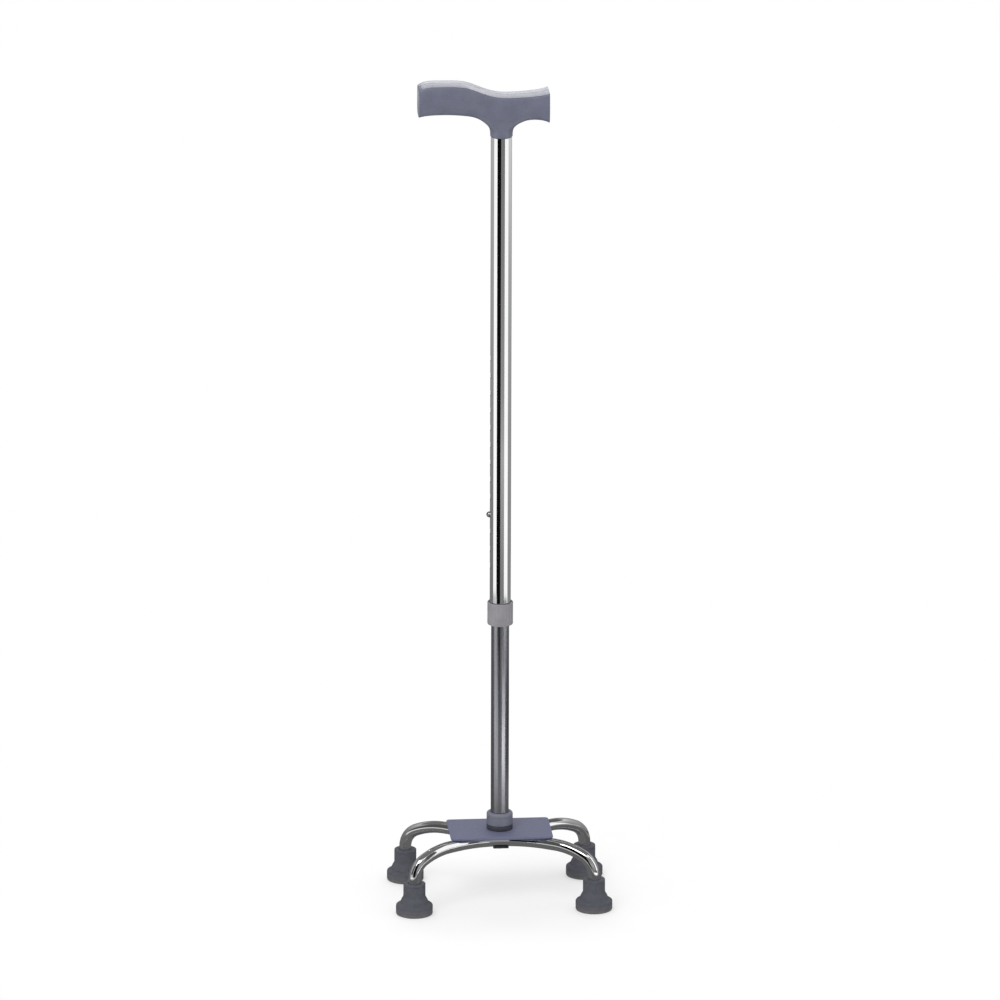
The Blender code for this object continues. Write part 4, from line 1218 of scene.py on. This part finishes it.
leg_low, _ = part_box("rear_leg_tube")
sideways = (-outwards.y, outwards.x, 0)
rear_tube = start("bent_tube_rear", bpy.ops.mesh.primitive_circle_add, vertices=48, radius=LEG_R,
                  location=(0, leg_inset, LEG_HEIGHT), rotation=(0, pi / 2, 0))
sweep(BOW_STEPS, degrees(leg_angle), (0, leg_inset + bow_r, LEG_HEIGHT), (0, 0, 1))
pull(dip_start - bow_end)
sweep(DIP_STEPS, degrees(LEG_DIP), dip_start - Vector((0, 0, LEG_DIP_R)), sideways)
sweep(BEND_STEPS, 90 - degrees(LEG_DIP), bend_middle, sideways)
pull((0, 0, leg_low.z - bend_middle.z))
put_down()
print("half of the rear tube has", len(rear_tube.data.vertices), "points")

# %% Mirror it, give it a wall and turn a copy round for the front
LEG_RIM_R = 0.25 * MM


def copy_of(piece, name):
    """A copy of a finished shape, with a mesh of its own."""
    take_up(piece)
    bpy.ops.object.duplicate()
    made = bpy.context.object
    made.name = made.data.name = name
    return made


modify(rear_tube, "MIRROR", use_axis=(True, False, False), use_clip=True, merge_threshold=CLOSE)
take_up(rear_tube, "EDIT")
close_up()
put_down()
modify(rear_tube, "SOLIDIFY", thickness=TUBE_WALL, offset=-1, use_even_offset=True)
soften(rear_tube, LEG_RIM_R, 2, 60)
front_tube = copy_of(rear_tube, "bent_tube_front")
take_up(front_tube, "EDIT")
bpy.ops.mesh.select_all(action="SELECT")
turn(pi, "Z")
hand_over(rear_tube, bright_chrome, "base", "chrome_tube", "rear_leg_tube")
hand_over(front_tube, bright_chrome, "base", "chrome_tube", "front_leg_tube")

# %% [markdown]
# ## The strap and its bolt
# A pressed strap lies under both leg tubes and curls up round their outer sides. A low-headed bolt
# with a hexagon socket pulls it, the tubes, the plate and the seat against the plug in the lower tube.
# A press curls a flat blank, and so does this cell: the two ends of a flat face are spun up round the
# tubes, and the face is then given its thickness.

# %% Curl the strap
STRAP_W = 16 * MM
STRAP_T = 2 * MM
STRAP_WRAP = 45
STRAP_EDGE_R = 0.4 * MM

strap_bow = (STRAP_W / 2) ** 2 / (2 * bow_r)
groove_r = LEG_R + SEAT_GAP + strap_bow + STRAP_T / 2
flat_z = LEG_HEIGHT + strap_bow - groove_r
strap = start("curled_strap", bpy.ops.mesh.primitive_plane_add, size=1, location=(0, 0, flat_z))
scale((STRAP_W, 2 * leg_inset, 1), (0, 0, flat_z))
for side in (-1, 1):
    pick("edges", lambda place, along: abs(along.x) > MOSTLY and side * place.y > 0.9 * leg_inset
         and abs(place.z - flat_z) < CLOSE)
    sweep(12, side * STRAP_WRAP, (0, side * leg_inset, flat_z + groove_r), (1, 0, 0))
close_up()
put_down()
modify(strap, "SOLIDIFY", thickness=STRAP_T, offset=0, use_even_offset=True)
soften(strap, STRAP_EDGE_R, 3, 50)
drill(strap, 2 * BOLT_HOLE_R, 4 * STRAP_T, (0, 0, flat_z), sides=64)
hand_over(strap, dark_metal, "base", "saddle_steel", "leg_saddle")

# %% Turn the bolt and cut its socket
BOLT_HEAD_R = BOLT_R + 3.5 * MM
BOLT_HEAD_H = 3.3 * MM
BOLT_HEAD_EASE = 0.15 * MM
# Shares of the head's radius and height, from its flat face out to its edge.
BOLT_HEAD_CURVE = ((0.62, 1.0), (0.76, 0.93), (0.88, 0.74), (0.96, 0.48), (1.0, 0.2))
BOLT_CHAMFER = 1 * MM
BOLT_KEY = 5 * MM
THREAD_PITCH = 1.25 * MM
THREAD_DEPTH = 0.35 * MM
THREADED = 12 * MM

bolt_low, bolt_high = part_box("base_bolt")
length = bolt_high.z - bolt_low.z - BOLT_HEAD_H
thread = []
for k in range(int(THREADED / THREAD_PITCH), 0, -1):
    crest = length - BOLT_CHAMFER - k * THREAD_PITCH
    thread += [(BOLT_R, crest), (BOLT_R - THREAD_DEPTH, crest + THREAD_PITCH / 2)]
outline = [
    (0, -BOLT_HEAD_H),
    *[(BOLT_HEAD_R * r, -BOLT_HEAD_H * z) for r, z in BOLT_HEAD_CURVE],
    (BOLT_HEAD_R, -BOLT_HEAD_EASE),
    (BOLT_HEAD_R - BOLT_HEAD_EASE, 0),
    (BOLT_R, 0),
    *thread,
    (BOLT_R, length - BOLT_CHAMFER),
    (BOLT_R - BOLT_CHAMFER, length),
    (0, length),
]
bolt = turned("hex_socket_bolt", outline, 64, (0, 0, bolt_low.z + BOLT_HEAD_H))
key_r = BOLT_KEY / 2 / cos(pi / 6)
cut_out(bolt, start("hexagon", bpy.ops.mesh.primitive_cylinder_add, vertices=6, radius=key_r,
                    depth=BOLT_HEAD_H, location=(0, 0, bolt_low.z)))
hand_over(bolt, dark_metal, "base", "saddle_steel", "base_bolt")

# %% [markdown]
# ## The rubber tips
# Each leg stands in a rubber tip: a sleeve for the tube, a cone that spreads the load and a wide foot
# with grooves in its tread. All four come out of one mould, so one tip is turned and copied to the
# legs. A linked copy would be lighter, but each tip is a piece of its own and needs its own mesh.

# %% Turn a tip
TIP_NECK_STEP = 5.3 * MM
TIP_NECK_ROUND = 1 * MM
TIP_FOOT_STEP = 7.75 * MM
TIP_FOOT_H = 11 * MM
TIP_FOOT_ROUND = 1.8 * MM
TIP_FLOOR = 8 * MM
TREAD_GROOVE = 1.2 * MM
# Where the tread grooves run, in shares of the foot's radius.
TREADS_AT = (0.36, 0.66)
# Out and up across a tread groove, in shares of TREAD_GROOVE, its depth and half its width.
TREAD_SECTION = ((-1, 0), (-0.4, 0.8), (0, 1), (0.4, 0.8), (1, 0))
# The lower edge of the foot, in mm in from its radius and up from the floor.
FOOT_EDGE = ((1.4, 0), (0.5, 0.4), (0, 1.6))
# The hollow cone, in mm out from the neck and up from the foot.
CONE_CURVE = ((3.55, 1.7), (1.8, 5.742), (0.7, 7.395), (0.2, 8.7), (0, 9.9))
# The middle, the depth and both half widths of the line round the foot.
FOOT_LINE = (3.65 * MM, 0.35 * MM, 0.65 * MM, 0.25 * MM)
NECK_LINE_DOWN = 2.9 * MM
NECK_LINE_DEPTH = 0.3 * MM

neck_r = LEG_R + TIP_NECK_STEP
foot_r = neck_r + TIP_FOOT_STEP
tip_bore = LEG_R + SLIP_GAP
outline = [(0, 0)]
for share in TREADS_AT:
    outline += [(share * foot_r + TREAD_GROOVE * out, TREAD_GROOVE * up) for out, up in TREAD_SECTION]
outline += [
    *[(foot_r - inwards * MM, up * MM) for inwards, up in FOOT_EDGE],
    *shallow_groove(foot_r, *FOOT_LINE),
    *arc((foot_r - TIP_FOOT_ROUND, TIP_FOOT_H - TIP_FOOT_ROUND), TIP_FOOT_ROUND, 0, 62, 5),
    *[(neck_r + out * MM, TIP_FOOT_H + up * MM) for out, up in CONE_CURVE],
    *shallow_groove(neck_r, TIP_H - NECK_LINE_DOWN, NECK_LINE_DEPTH),
    *arc((neck_r - TIP_NECK_ROUND, TIP_H - TIP_NECK_ROUND), TIP_NECK_ROUND, 0, 90, 5),
    (tip_bore + BROKEN_EDGE, TIP_H),
    (tip_bore, TIP_H - BROKEN_EDGE),
    (tip_bore, TIP_FLOOR),
    (0, TIP_FLOOR),
]
first_tip = turned("rubber_tip", outline, 80)
print("the tip's outline has", len(outline), "points")

# %% Copy it to the four legs
for node in ("tip_front_left", "tip_front_right", "tip_rear_left", "tip_rear_right"):
    low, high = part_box(node)
    copy = copy_of(first_tip, f"rubber_{node}")
    copy.location = ((low.x + high.x) / 2, (low.y + high.y) / 2, 0)
    hand_over(copy, rubber, "base", "tip_rubber", node)
bpy.data.objects.remove(first_tip)

# %% [markdown]
# ## What stays as the frame has it
# The bush, the glide, the plug, the leaf spring and the steel discs are hidden inside the tubes and
# tips. They could be modelled again, but their solids already have the right shape, so they stay, and
# only get their finish.

# %% Finish the hidden pieces
HIDDEN = {
    "lock_bush": nylon,
    "tube_glide": nylon,
    "tube_plug": zinc_plate,
    "snap_spring": spring_metal,
    "disc_front_left": zinc_plate,
    "disc_front_right": zinc_plate,
    "disc_rear_left": zinc_plate,
    "disc_rear_right": zinc_plate,
}
for name, material in HIDDEN.items():
    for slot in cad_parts[name].material_slots:
        slot.material = material
print("finished", len(HIDDEN), "hidden pieces")

# %% [markdown]
# ## Measure
# The dressed cane has to be as large as the frame. Both boxes are written down, and the last call
# checks that every piece rides on a body of the frame.

# %% Print the dressed size
put_down()
low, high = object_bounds()
print("dressed size in mm:", [round(side / MM, 1) for side in high - low])
